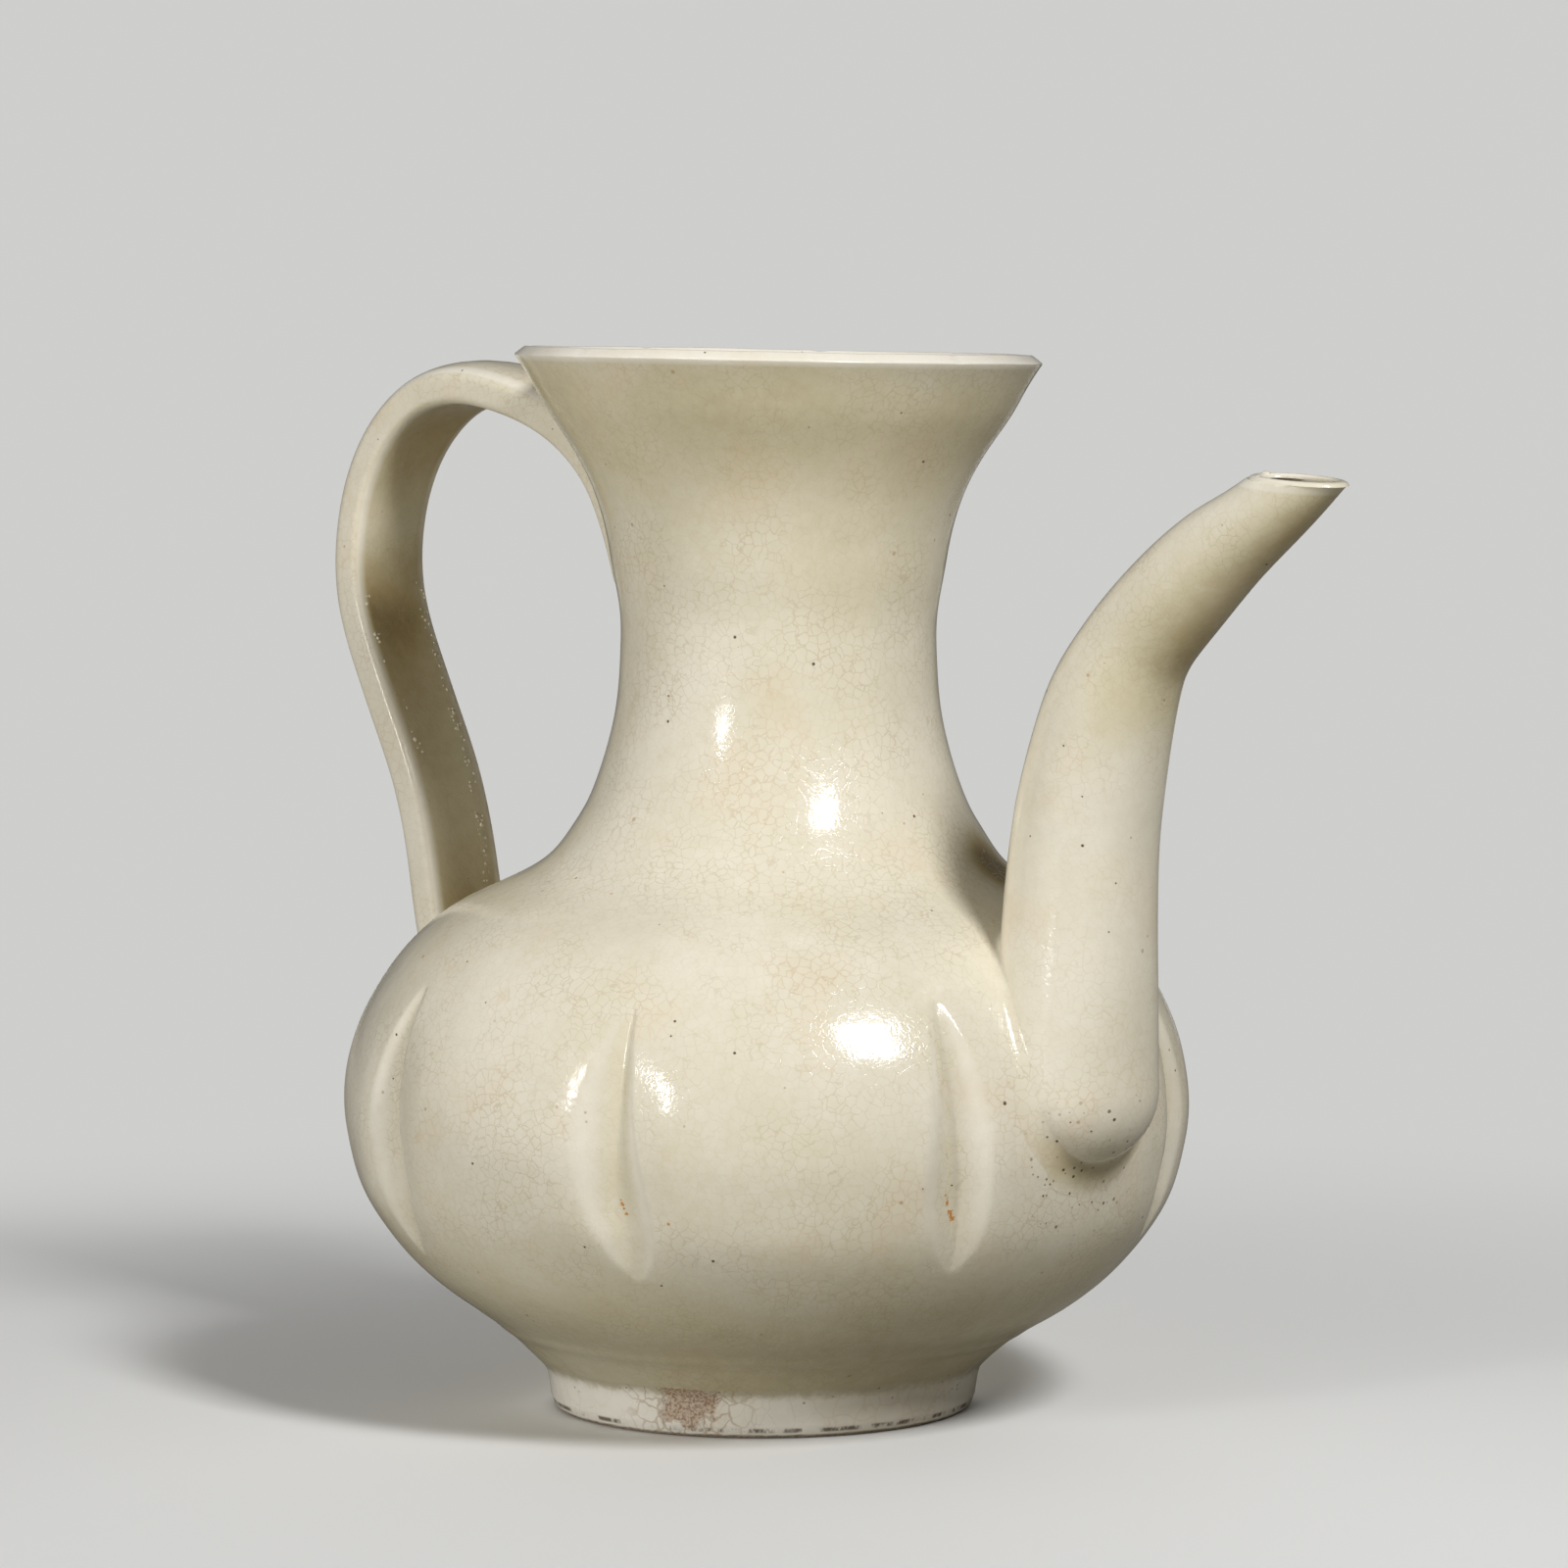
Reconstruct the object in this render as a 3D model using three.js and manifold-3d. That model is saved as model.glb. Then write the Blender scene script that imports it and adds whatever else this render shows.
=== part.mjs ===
// A melon shaped ewer in pale glazed stoneware: eight flutes pressed into a round belly, a
// trumpet neck with a bevelled lip, a rising spout and a tall strap handle. Sizes are in
// millimetres, with Z up and the spout towards +X. Every piece of clay is a solid of its own,
// and a bed of slip or soft clay lies between each two that are joined.

import * as THREE from "three";
import { mergeVertices } from "three/addons/utils/BufferGeometryUtils.js";
import Module from "manifold-3d";

const wasm = await Module();
wasm.setup();

// The foot ring
const foot_height = 9;
const foot_radius = 37.4;
const foot_flare = 3.4;
const foot_wall = 6.6;
const foot_edge = 1.2;

// The body: two thrown bowls, joined at the belly
const lower_body_rise = 48;
const belly_radius = 76.1;
const shoulder_rise = 48.2;
const neck_base_radius = 36.6;
const body_wall = 4.5;
const floor_thickness = 5;

// The flutes, centred on the belly's height
const flute_count = 8;
const flute_length = 47;
const flute_width = 11;
const flute_depth = 2.4;
const flute_side_exponent = 1.5;

// The neck and its lip, which is cut square to the flaring wall
const neck_rise = 32.8;
const neck_waist_radius = 28.3;
const trumpet_rise = 50.2;
const lip_radius = 47.2;
const lip_bevel = 2.2;
const lip_wall = 2.8;

// The spout
const spout_reach = 125;
const spout_mouth_drop = 21.6;
const spout_mouth_length = 17.6;
const spout_mouth_width = 12.8;
const spout_mouth_dip = 1.4;
const spout_root_radius = 13.5;
const spout_root_sink = 4.7;
const spout_root_rise = 6;
const spout_wall = 3.2;
const spout_lip_wall = 1.7;
const pour_hole_radius = 6.5;
const pour_hole_rise = 17;

// The handle, a strap with a crowned back
const handle_reach = 99.8;
const handle_lip_drop = 3.6;
const handle_widest_rise = 93;
const handle_width = 19.6;
const handle_thickness = 7;
const handle_crown = 1.6;

// The joints: the bed of slip or clay, how far a clay bed spreads beyond the piece it holds,
// and the clearance between two curved faces that rest on each other
const luting_thickness = 1;
const luting_spread = 1.8;
const clay_gap = 0.3;

// The body leans on its foot towards the spout, and the neck is set a little off the middle
const lean_angle = THREE.MathUtils.degToRad(1.2);
const lean_ease = 12;
const neck_offset = 1.7;

// How finely the curved faces are cut into flats
const lower_rows = 10;
const upper_rows = 10;
const neck_rows = 12;
const spout_rows = 18;
const spout_sides = 18;
const chin_rows = 4;
const handle_rows = 34;
const round_edge_rows = 2;

// Radii and heights that follow from the sizes above
const foot_top_radius = foot_radius + foot_flare;
const foot_bore_radius = foot_radius - foot_wall;
const belly_height = foot_height + lower_body_rise;
const neck_base_height = belly_height + shoulder_rise;
const neck_waist_height = neck_base_height + neck_rise;
const lip_height = neck_waist_height + trumpet_rise;
const mouth_height = lip_height + lip_bevel;
const body_start_height = foot_height + luting_thickness;

// The foot's side, as shares of its flare and of its height
const foot_side_shares = [[0.25, 0.55], [0.55, 0.8]];

// The outside of the vessel, as points on the way from one named ring to the next. Each pair is
// the share of the change in radius and the share of the change in height.
const foot_to_belly_shares = [[0.19, 0.125], [0.495, 0.275], [0.705, 0.42], [0.9, 0.63], [0.982, 0.845]];
const belly_to_neck_shares = [
  [0.028, 0.156], [0.09, 0.307], [0.2, 0.467], [0.339, 0.6], [0.509, 0.705], [0.689, 0.77],
  [0.863, 0.85], [0.952, 0.934],
];
const neck_to_waist_shares = [[0.29, 0.116], [0.675, 0.39], [0.916, 0.665]];
const waist_to_lip_shares = [
  [0.011, 0.12], [0.079, 0.259], [0.143, 0.398], [0.259, 0.542], [0.455, 0.681], [0.714, 0.82],
  [0.85, 0.915],
];

// The angles of a flute's flats, as shares of the angle from one flute to the next
const flute_step_shares = [0, 0.04, 0.11, 0.29, 0.5, 0.71, 0.89, 0.96];
const inner_press_share = 0.4;
const flute_fade_share = 0.6;

// The spout's middle line from its root to its mouth: shares of the run outwards, of the rise,
// and of the change in radius
const spout_line_shares = [
  [0, 0, 0], [-0.004, 0.142, 0.015], [-0.009, 0.274, 0.03], [0.005, 0.397, 0.08],
  [0.042, 0.491, 0.14], [0.126, 0.624, 0.28], [0.215, 0.695, 0.4], [0.32, 0.756, 0.52],
  [0.47, 0.822, 0.66], [0.646, 0.888, 0.82], [0.81, 0.94, 0.96], [1, 1, 1],
];
const spout_level_share = 0.75;
const chin_start_share = 0.25;

// The strap's middle line: from its tail on the neck out to its widest point, then down to its
// end on the belly, as shares of the run and of the rise
const handle_upper_shares = [
  [-0.013, -0.207], [0.015, 0.03], [0.055, 0.28], [0.123, 0.547], [0.243, 0.769], [0.4, 0.917],
  [0.6, 1], [0.76, 0.935], [0.888, 0.71], [0.966, 0.4], [0.995, 0.03],
];
const handle_lower_shares = [
  [0.9, 0.892], [0.595, 0.738], [0.275, 0.586], [0.1, 0.457], [-0.005, 0.328],
  [-0.132, 0.199], [-0.35, 0.065],
];
const handle_upper_end_share = 0.42;
const handle_lower_end_share = 0.22;

// The strap's section: shares of its half width, of its thickness and of its crown
const strap_section_shares = [
  [-1, -0.32, 0], [-0.9, -0.5, 0], [-0.3, -0.5, 0], [0.3, -0.5, 0], [0.9, -0.5, 0], [1, -0.32, 0],
  [1, 0.3, 0], [0.93, 0.5, 0], [0.5, 0.5, 0.75], [0, 0.5, 1], [-0.5, 0.5, 0.75],
  [-0.93, 0.5, 0], [-1, 0.3, 0],
];

const footRing = new THREE.Vector2(foot_top_radius, foot_height);
const bellyRing = new THREE.Vector2(belly_radius, belly_height);
const neckBaseRing = new THREE.Vector2(neck_base_radius, neck_base_height);
const neckWaistRing = new THREE.Vector2(neck_waist_radius, neck_waist_height);
const lipRing = new THREE.Vector2(lip_radius, lip_height);

// Points between two others, by shares of the way across and up
function pointsBetween(from, to, shares) {
  return shares.map(([across, up]) => new THREE.Vector2(
    THREE.MathUtils.lerp(from.x, to.x, across),
    THREE.MathUtils.lerp(from.y, to.y, up),
  ));
}

const vesselOutline = new THREE.SplineCurve([
  footRing, ...pointsBetween(footRing, bellyRing, foot_to_belly_shares),
  bellyRing, ...pointsBetween(bellyRing, neckBaseRing, belly_to_neck_shares),
  neckBaseRing, ...pointsBetween(neckBaseRing, neckWaistRing, neck_to_waist_shares),
  neckWaistRing, ...pointsBetween(neckWaistRing, lipRing, waist_to_lip_shares),
  lipRing,
]);

// Where along the outline the wall reaches a height; the outline only ever rises
function outlineShareAt(height) {
  let low = 0;
  let high = 1;
  while (high - low > Number.EPSILON) {
    const middle = (low + high) / 2;
    if (middle === low || middle === high) break;
    if (vesselOutline.getPoint(middle).y < height) low = middle;
    else high = middle;
  }
  return low;
}

// The wall's thickness: even in the body, then thinner all the way up to the lip
function wallThickness(height) {
  const up = THREE.MathUtils.clamp((height - neck_base_height) / (lip_height - neck_base_height), 0, 1);
  return THREE.MathUtils.lerp(body_wall, lip_wall, up);
}

// One level of the wall: its outer and inner radius and its outward direction
function wallLevel(share, height) {
  const radius = vesselOutline.getPoint(share).x;
  const along = vesselOutline.getTangent(share);
  const level = height ?? vesselOutline.getPoint(share).y;
  return {
    height: level,
    outer: radius,
    inner: radius - wallThickness(level) / along.y,
    outward: new THREE.Vector2(along.y, -along.x),
  };
}

function wallLevels(low, high, rows) {
  const start = outlineShareAt(low);
  const end = outlineShareAt(high);
  return Array.from({ length: rows + 1 }, (_, row) => {
    if (row === 0) return wallLevel(start, low);
    if (row === rows) return wallLevel(end, high);
    return wallLevel(THREE.MathUtils.lerp(start, end, row / rows));
  });
}

const lowerLevels = wallLevels(body_start_height, belly_height - luting_thickness / 2, lower_rows);
const upperLevels = wallLevels(
  belly_height + luting_thickness / 2, neck_base_height - luting_thickness / 2, upper_rows);
const neckLevels = wallLevels(neck_base_height + luting_thickness / 2, lip_height, neck_rows);

// How deep the flutes press at a height and an angle: full at the belly, nothing at their tips
function flutePress(height, angle, radius) {
  const fromMiddle = Math.abs(height - belly_height) / (flute_length / 2);
  if (fromMiddle >= 1) return 0;
  const fade = Math.cos(fromMiddle * Math.PI / 2) ** flute_fade_share;
  const pitch = 2 * Math.PI / flute_count;
  const fromCrease = Math.abs(THREE.MathUtils.euclideanModulo(angle, pitch) - pitch / 2);
  const aside = fromCrease * radius / (flute_width * fade / 2);
  return aside >= 1 ? 0 : flute_depth * fade * (1 - aside) ** flute_side_exponent;
}

// A point of the vessel, moved and tilted with the lean at its height
function vesselPoint(radius, height, angle, press) {
  const tilt = lean_angle * THREE.MathUtils.smoothstep(height, foot_height, foot_height + lean_ease);
  const climb = THREE.MathUtils.clamp(height, foot_height, neck_base_height) - foot_height;
  const offset = neck_offset * THREE.MathUtils.smoothstep(height, belly_height, neck_base_height);
  const pressed = radius - press * flutePress(height, angle, radius);
  const run = pressed * Math.cos(angle);
  return new THREE.Vector3(
    climb * Math.sin(lean_angle) + offset + run * Math.cos(tilt),
    pressed * Math.sin(angle),
    height - run * Math.sin(tilt),
  );
}

const fluteAngles = Array.from({ length: flute_count }, (_, lobe) => flute_step_shares.map(
  (share) => (lobe + 0.5 + share) * 2 * Math.PI / flute_count)).flat();

function geometryFrom(points, faces) {
  const geometry = new THREE.BufferGeometry();
  geometry.setAttribute("position", new THREE.Float32BufferAttribute(points.flatMap((p) => p.toArray()), 3));
  geometry.setIndex(faces.flat());
  const merged = mergeVertices(geometry);
  merged.computeVertexNormals();
  return merged;
}

// A ring of clay from its section, a closed loop of { radius, height, press } that runs up the
// outside. Faces that touch the axis shrink to triangles, and a quad between two radii is always
// split the same way, so that two pieces meeting in one plane have the same flats there.
function turnedPiece(section, closed = true) {
  const sides = fluteAngles.length;
  const points = section.flatMap(({ radius, height, press = 0 }) => fluteAngles.map(
    (angle) => vesselPoint(radius, height, angle, press)));
  const faces = [];
  const steps = closed ? section.length : section.length - 1;
  for (let row = 0; row < steps; row += 1) {
    const next = (row + 1) % section.length;
    for (let side = 0; side < sides; side += 1) {
      const turn = (side + 1) % sides;
      const a = row * sides + side;
      const b = next * sides + side;
      const c = next * sides + turn;
      const d = row * sides + turn;
      const narrowing = section[row].radius >= section[next].radius;
      if (section[row].radius === 0) faces.push([a, c, b]);
      else if (section[next].radius === 0) faces.push([a, d, c]);
      else if (narrowing) faces.push([a, d, c], [a, c, b]);
      else faces.push([a, d, b], [d, c, b]);
    }
  }
  return geometryFrom(points, faces);
}

// A closed tube through rings of points, all with the same count, with a flat fan on each end
function ringsPiece(rings) {
  const sides = rings[0].length;
  const middle = (ring) => ring.reduce((sum, p) => sum.add(p), new THREE.Vector3()).divideScalar(sides);
  const points = [...rings.flat(), middle(rings[0]), middle(rings.at(-1))];
  const faces = [];
  for (let side = 0; side < sides; side += 1) {
    const turn = (side + 1) % sides;
    for (let row = 0; row + 1 < rings.length; row += 1) {
      const a = row * sides + side;
      const d = row * sides + turn;
      faces.push([a, d, d + sides], [a, d + sides, a + sides]);
    }
    const last = (rings.length - 1) * sides;
    faces.push([points.length - 2, turn, side], [points.length - 1, last + side, last + turn]);
  }
  return geometryFrom(points, faces);
}

// Conversion to and from the library that joins and cuts
function solidFrom(geometry) {
  const bare = geometry.clone();
  bare.deleteAttribute("normal");
  if (bare.hasAttribute("uv")) bare.deleteAttribute("uv");
  const merged = mergeVertices(bare);
  return new wasm.Manifold(new wasm.Mesh({
    numProp: 3,
    vertProperties: new Float32Array(merged.attributes.position.array),
    triVerts: new Uint32Array(merged.index.array),
  }));
}

function geometryOf(solid) {
  const { numProp, vertProperties, triVerts } = solid.getMesh();
  const geometry = new THREE.BufferGeometry();
  const places = [];
  for (let start = 0; start < vertProperties.length; start += numProp) {
    places.push(...vertProperties.slice(start, start + 3));
  }
  geometry.setAttribute("position", new THREE.Float32BufferAttribute(places, 3));
  geometry.setIndex(Array.from(triVerts));
  geometry.computeVertexNormals();
  return geometry;
}

function outsideOf(levels) {
  return levels.map(({ outer, height }) => ({ radius: outer, height, press: 1 }));
}

// The inside takes every second level, from the top one down
function insideOf(levels) {
  return levels.toReversed().filter((_, row) => row % 2 === 0 || row === levels.length - 1).map(
    ({ inner, height }) => ({ radius: inner, height, press: inner_press_share }));
}

// The walls between two levels: up the outside, then down the inside
function wallSection(levels) {
  return [...outsideOf(levels), ...insideOf(levels)];
}

function footRingPiece() {
  const rounded = (middle, radius, start) => Array.from({ length: round_edge_rows + 1 }, (_, step) => {
    const turn = start + step / round_edge_rows * Math.PI / 2;
    return { radius: middle + radius * Math.cos(turn), height: foot_edge + radius * Math.sin(turn) };
  });
  const outerEdge = rounded(foot_radius - foot_edge, foot_edge, -Math.PI / 2);
  const innerEdge = rounded(foot_bore_radius + foot_edge, foot_edge, -Math.PI);
  return turnedPiece([
    ...outerEdge,
    ...foot_side_shares.map(([out, up]) => (
      { radius: foot_radius + foot_flare * out, height: foot_height * up })),
    { radius: foot_top_radius, height: foot_height },
    { radius: foot_bore_radius, height: foot_height },
    ...innerEdge,
  ]);
}

function footLutingPiece() {
  return turnedPiece([
    { radius: foot_top_radius, height: foot_height },
    { radius: lowerLevels[0].outer, height: body_start_height },
    { radius: foot_bore_radius, height: body_start_height },
    { radius: foot_bore_radius, height: foot_height },
  ]);
}

// The lower bowl, closed by its floor, whose upper side is level
function lowerBodyPiece() {
  const floorHeight = body_start_height + floor_thickness;
  const floorLevel = wallLevel(outlineShareAt(floorHeight), floorHeight);
  return turnedPiece([
    { radius: 0, height: body_start_height },
    ...outsideOf(lowerLevels),
    ...insideOf(lowerLevels).filter(({ height }) => height > floorHeight),
    { radius: floorLevel.inner - body_wall, height: floorHeight },
    { radius: 0, height: floorHeight },
  ], false);
}

// The upper bowl, with the round hole that is pierced behind the spout
function upperBodyPiece() {
  const hole = new THREE.CylinderGeometry(pour_hole_radius, pour_hole_radius, belly_radius, spout_sides);
  hole.rotateZ(Math.PI / 2);
  hole.translate(belly_radius, 0, belly_height + pour_hole_rise);
  return geometryOf(solidFrom(turnedPiece(wallSection(upperLevels))).subtract(solidFrom(hole)));
}

function neckPiece() {
  const section = wallSection(neckLevels);
  const top = { radius: lip_radius - lip_bevel, height: mouth_height };
  section.splice(neckLevels.length, 0, top);
  return turnedPiece(section);
}

function lutingRingPiece(below, above) {
  return turnedPiece(wallSection([below.at(-1), above[0]]));
}

// The space that the vessel fills, grown by a margin square to its outside
function grownVessel(margin) {
  const levels = [...lowerLevels, ...upperLevels, ...neckLevels];
  const outside = levels.map(({ outer, height, outward }) => ({
    radius: outer + margin * outward.x, height: height + margin * outward.y, press: 1,
  }));
  return solidFrom(turnedPiece([
    { radius: 0, height: foot_height },
    { radius: foot_top_radius, height: foot_height },
    ...outside,
    { radius: lip_radius - lip_bevel, height: mouth_height + margin },
    { radius: 0, height: mouth_height + margin },
  ], false));
}

// The middles of the belly and of the neck, from which spout and handle are set out
const bodyMiddle = vesselPoint(0, belly_height, 0, 0).x;
const neckMiddle = vesselPoint(0, neck_waist_height, 0, 0).x;

const spoutRoot = new THREE.Vector2(
  belly_radius - spout_root_sink, belly_height + spout_root_rise);
const spoutMouth = new THREE.Vector2(
  spout_reach - spout_mouth_length / 2, mouth_height - spout_mouth_drop);
const spoutLine = new THREE.CatmullRomCurve3(spout_line_shares.map(([run, rise, taper]) => new THREE.Vector3(
  THREE.MathUtils.lerp(spoutRoot.x, spoutMouth.x, run),
  THREE.MathUtils.lerp(spout_root_radius, spout_mouth_width / 2, taper),
  THREE.MathUtils.lerp(spoutRoot.y, spoutMouth.y, rise),
)));

// One round section of the spout: its middle, its half lengths and the way it leans
function spoutRing(middle, across, halfLength, halfWidth) {
  return Array.from({ length: spout_sides }, (_, side) => {
    const turn = side / spout_sides * 2 * Math.PI;
    return new THREE.Vector3(bodyMiddle + middle.x, 0, middle.y)
      .addScaledVector(across, halfLength * Math.cos(turn))
      .add(new THREE.Vector3(0, halfWidth * Math.sin(turn), 0));
  });
}

// The spout's rings, grown or shrunk by a margin at the root and one at the mouth. It starts as
// a round chin low on the belly. Towards the mouth its sections turn from square to the line to
// the level cut of the mouth.
function spoutRings(rootMargin, mouthMargin) {
  const rings = [];
  const rootRadius = spout_root_radius + rootMargin;
  for (let row = 0; row < chin_rows; row += 1) {
    const turn = (row + chin_start_share) / chin_rows * Math.PI / 2;
    const middle = new THREE.Vector2(spoutRoot.x, spoutRoot.y - rootRadius * Math.cos(turn));
    const radius = rootRadius * Math.sin(turn);
    rings.push(spoutRing(middle, new THREE.Vector3(1, 0, 0), radius, radius));
  }
  for (let row = 0; row <= spout_rows; row += 1) {
    const share = row / spout_rows;
    const point = spoutLine.getPoint(share);
    const along = spoutLine.getTangent(share).setY(0).normalize();
    const square = new THREE.Vector3(along.z, 0, -along.x);
    const level = THREE.MathUtils.smoothstep(share, spout_level_share, 1);
    const mouthLean = new THREE.Vector3(spout_mouth_length, 0, -spout_mouth_dip).normalize();
    const across = square.clone().lerp(mouthLean, level).normalize();
    const stretch = 1 / across.dot(square);
    const radius = point.y + THREE.MathUtils.lerp(rootMargin, mouthMargin, share);
    rings.push(spoutRing(new THREE.Vector2(point.x, point.z), across, radius * stretch, radius));
  }
  return rings;
}

// A little more of the spout's bore, past the mouth, so that it is cut right through
function openedRings(rings) {
  const last = rings.at(-1);
  const before = rings.at(-2);
  return [...rings, last.map((point, side) => point.clone().multiplyScalar(2).sub(before[side]))];
}

function spoutSolids() {
  const bore = solidFrom(ringsPiece(openedRings(spoutRings(-spout_wall, -spout_lip_wall))));
  const spout = solidFrom(ringsPiece(spoutRings(0, 0)))
    .subtract(bore)
    .subtract(grownVessel(clay_gap + luting_thickness + clay_gap));
  const luting = solidFrom(ringsPiece(spoutRings(luting_spread, luting_spread)))
    .intersect(grownVessel(clay_gap + luting_thickness))
    .subtract(grownVessel(clay_gap))
    .subtract(bore);
  return { spout: geometryOf(spout), luting: geometryOf(luting) };
}

// The strap's middle line, in the plane of the spout: X along it and Y for the height
const handleTop = mouth_height - handle_lip_drop - handle_thickness / 2;
const handleWidest = new THREE.Vector2(
  bodyMiddle - handle_reach + handle_thickness / 2, belly_height + handle_widest_rise);
const handleLine = new THREE.SplineCurve([
  ...pointsBetween(
    new THREE.Vector2(neckMiddle - neck_waist_radius, handleWidest.y),
    new THREE.Vector2(handleWidest.x, handleTop), handle_upper_shares),
  ...pointsBetween(
    new THREE.Vector2(bodyMiddle - belly_radius, belly_height), handleWidest, handle_lower_shares),
]);

// The strap's rings from one share of its line to another, grown by a margin
function handleRings(from, to, margin) {
  const rows = Math.ceil((to - from) * handle_rows);
  return Array.from({ length: rows + 1 }, (_, row) => {
    const share = THREE.MathUtils.lerp(from, to, row / rows);
    const point = handleLine.getPoint(share);
    const along = handleLine.getTangent(share);
    const back = new THREE.Vector3(along.y, 0, -along.x);
    const middle = new THREE.Vector3(point.x, 0, point.y);
    return strap_section_shares.map(([aside, deep, crown]) => {
      const depth = deep * (handle_thickness + 2 * margin) + crown * handle_crown;
      const width = -aside * (handle_width / 2 + margin);
      return middle.clone().addScaledVector(back, depth).add(new THREE.Vector3(0, width, 0));
    });
  });
}

function handleSolids() {
  const handle = solidFrom(ringsPiece(handleRings(0, 1, 0)))
    .subtract(grownVessel(clay_gap + luting_thickness + clay_gap));
  const bed = (from, to) => geometryOf(solidFrom(ringsPiece(handleRings(from, to, luting_spread)))
    .intersect(grownVessel(clay_gap + luting_thickness))
    .subtract(grownVessel(clay_gap)));
  return {
    handle: geometryOf(handle),
    upperLuting: bed(0, handle_upper_end_share),
    lowerLuting: bed(1 - handle_lower_end_share, 1),
  };
}

const ivoryGlaze = () => new THREE.MeshStandardMaterial({ color: 0xd8cdb6, roughness: 0.15, metalness: 0 });
const bareFoot = () => new THREE.MeshStandardMaterial({ color: 0xb59b7c, roughness: 0.6, metalness: 0 });
const jointClay = () => new THREE.MeshStandardMaterial({ color: 0xcfc2a8, roughness: 0.4, metalness: 0 });

function named(name, geometry, material) {
  const mesh = new THREE.Mesh(geometry, material);
  mesh.name = name;
  return mesh;
}

const spoutPieces = spoutSolids();
const handlePieces = handleSolids();

const ewer = new THREE.Group();
ewer.add(
  named("foot_ring", footRingPiece(), bareFoot()),
  named("foot_luting", footLutingPiece(), jointClay()),
  named("lower_body", lowerBodyPiece(), ivoryGlaze()),
  named("waist_luting", lutingRingPiece(lowerLevels, upperLevels), jointClay()),
  named("upper_body", upperBodyPiece(), ivoryGlaze()),
  named("neck_luting", lutingRingPiece(upperLevels, neckLevels), jointClay()),
  named("neck", neckPiece(), ivoryGlaze()),
  named("spout", spoutPieces.spout, ivoryGlaze()),
  named("spout_luting", spoutPieces.luting, jointClay()),
  named("handle", handlePieces.handle, ivoryGlaze()),
  named("handle_upper_luting", handlePieces.upperLuting, jointClay()),
  named("handle_lower_luting", handlePieces.lowerLuting, jointClay()),
);

// The whole ewer is placed so that the middle of its length lies over the origin
ewer.position.x = (handle_reach + handle_crown - spout_reach) / 2 - bodyMiddle;

export default ewer;
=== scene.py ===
# %% [markdown]
# # A melon shaped ewer in pale crackled glaze
# The pot was thrown in three turned pieces: a lower bowl, an upper bowl and a trumpet neck, luted
# together with slip. A foot ring was turned below, eight flutes were pressed into the belly with
# a rounded stick, and a hand rolled spout and a pulled strap handle were stuck on with soft clay.
# Then the whole pot was dipped in an ivory glaze, which crackled in the kiln.
#
# This script dresses the measured solids of that pot. Every solid gets a finer mesh of its own,
# under the same sizes, so that the ewer stays an assembly of separate clay pieces.

# %% Load the measured solids as a fixed frame
import math

import bpy
import numpy as np
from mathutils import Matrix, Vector
from mathutils.bvhtree import BVHTree


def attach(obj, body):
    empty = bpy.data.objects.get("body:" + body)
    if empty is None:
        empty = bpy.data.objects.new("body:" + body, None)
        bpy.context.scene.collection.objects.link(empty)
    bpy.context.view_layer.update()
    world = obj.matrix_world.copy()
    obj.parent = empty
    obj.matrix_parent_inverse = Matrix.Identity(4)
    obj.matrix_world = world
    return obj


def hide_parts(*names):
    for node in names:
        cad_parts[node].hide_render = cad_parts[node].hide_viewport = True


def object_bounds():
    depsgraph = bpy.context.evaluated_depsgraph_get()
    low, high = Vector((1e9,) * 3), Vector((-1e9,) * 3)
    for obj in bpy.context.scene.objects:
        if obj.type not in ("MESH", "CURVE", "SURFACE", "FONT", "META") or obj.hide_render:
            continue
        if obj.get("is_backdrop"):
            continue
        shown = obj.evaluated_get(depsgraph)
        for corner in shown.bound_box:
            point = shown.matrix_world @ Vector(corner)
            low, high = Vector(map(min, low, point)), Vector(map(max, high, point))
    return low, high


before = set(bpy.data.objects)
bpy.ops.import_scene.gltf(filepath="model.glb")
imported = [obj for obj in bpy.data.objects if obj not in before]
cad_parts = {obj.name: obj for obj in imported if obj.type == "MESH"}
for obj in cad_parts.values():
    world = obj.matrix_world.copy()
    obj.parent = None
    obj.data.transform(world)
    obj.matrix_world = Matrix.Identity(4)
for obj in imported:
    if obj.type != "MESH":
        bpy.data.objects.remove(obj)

cad_box = [list(corner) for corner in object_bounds()]
print("solids:", ", ".join(sorted(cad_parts)))

# %% [markdown]
# ## Sizes
# A potter measures a pot by its rings: foot, belly, neck base, waist and lip. These are the same
# sizes, in millimetres, that the solids were made from. A mesh is scaled to metres at the end.

# %% The sizes of the pot, in millimetres
MM = 0.001

foot_height = 9.0
foot_radius = 37.4
foot_flare = 3.4
foot_wall = 6.6
foot_edge = 1.2
belly_height = 57.0
belly_radius = 76.1
neck_base_height = 105.2
neck_base_radius = 36.6
neck_waist_height = 138.0
neck_waist_radius = 28.3
lip_height = 188.2
lip_radius = 47.2
lip_bevel = 2.2
lip_wall = 2.8
body_wall = 4.5
floor_thickness = 5.0
luting_thickness = 1.0
lean_angle = math.radians(1.2)
lean_ease = 12.0
neck_offset = 1.7
foot_centre_x = -12.805

foot_top_radius = foot_radius + foot_flare
foot_bore_radius = foot_radius - foot_wall
mouth_height = lip_height + lip_bevel
body_start_height = foot_height + luting_thickness
print("the pot is", mouth_height, "mm tall and", 2 * belly_radius, "mm round the belly")

# %% [markdown]
# ## The thrown outline
# A thrown wall is one smooth curve. It could be a Bezier curve spun by a Screw modifier, but the
# spout, the handle and the joints must find this wall too, so the curve is kept as numbers: a
# table of radius against height, drawn through the measured points and then eased as a sponge
# would ease the wet clay.

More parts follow.
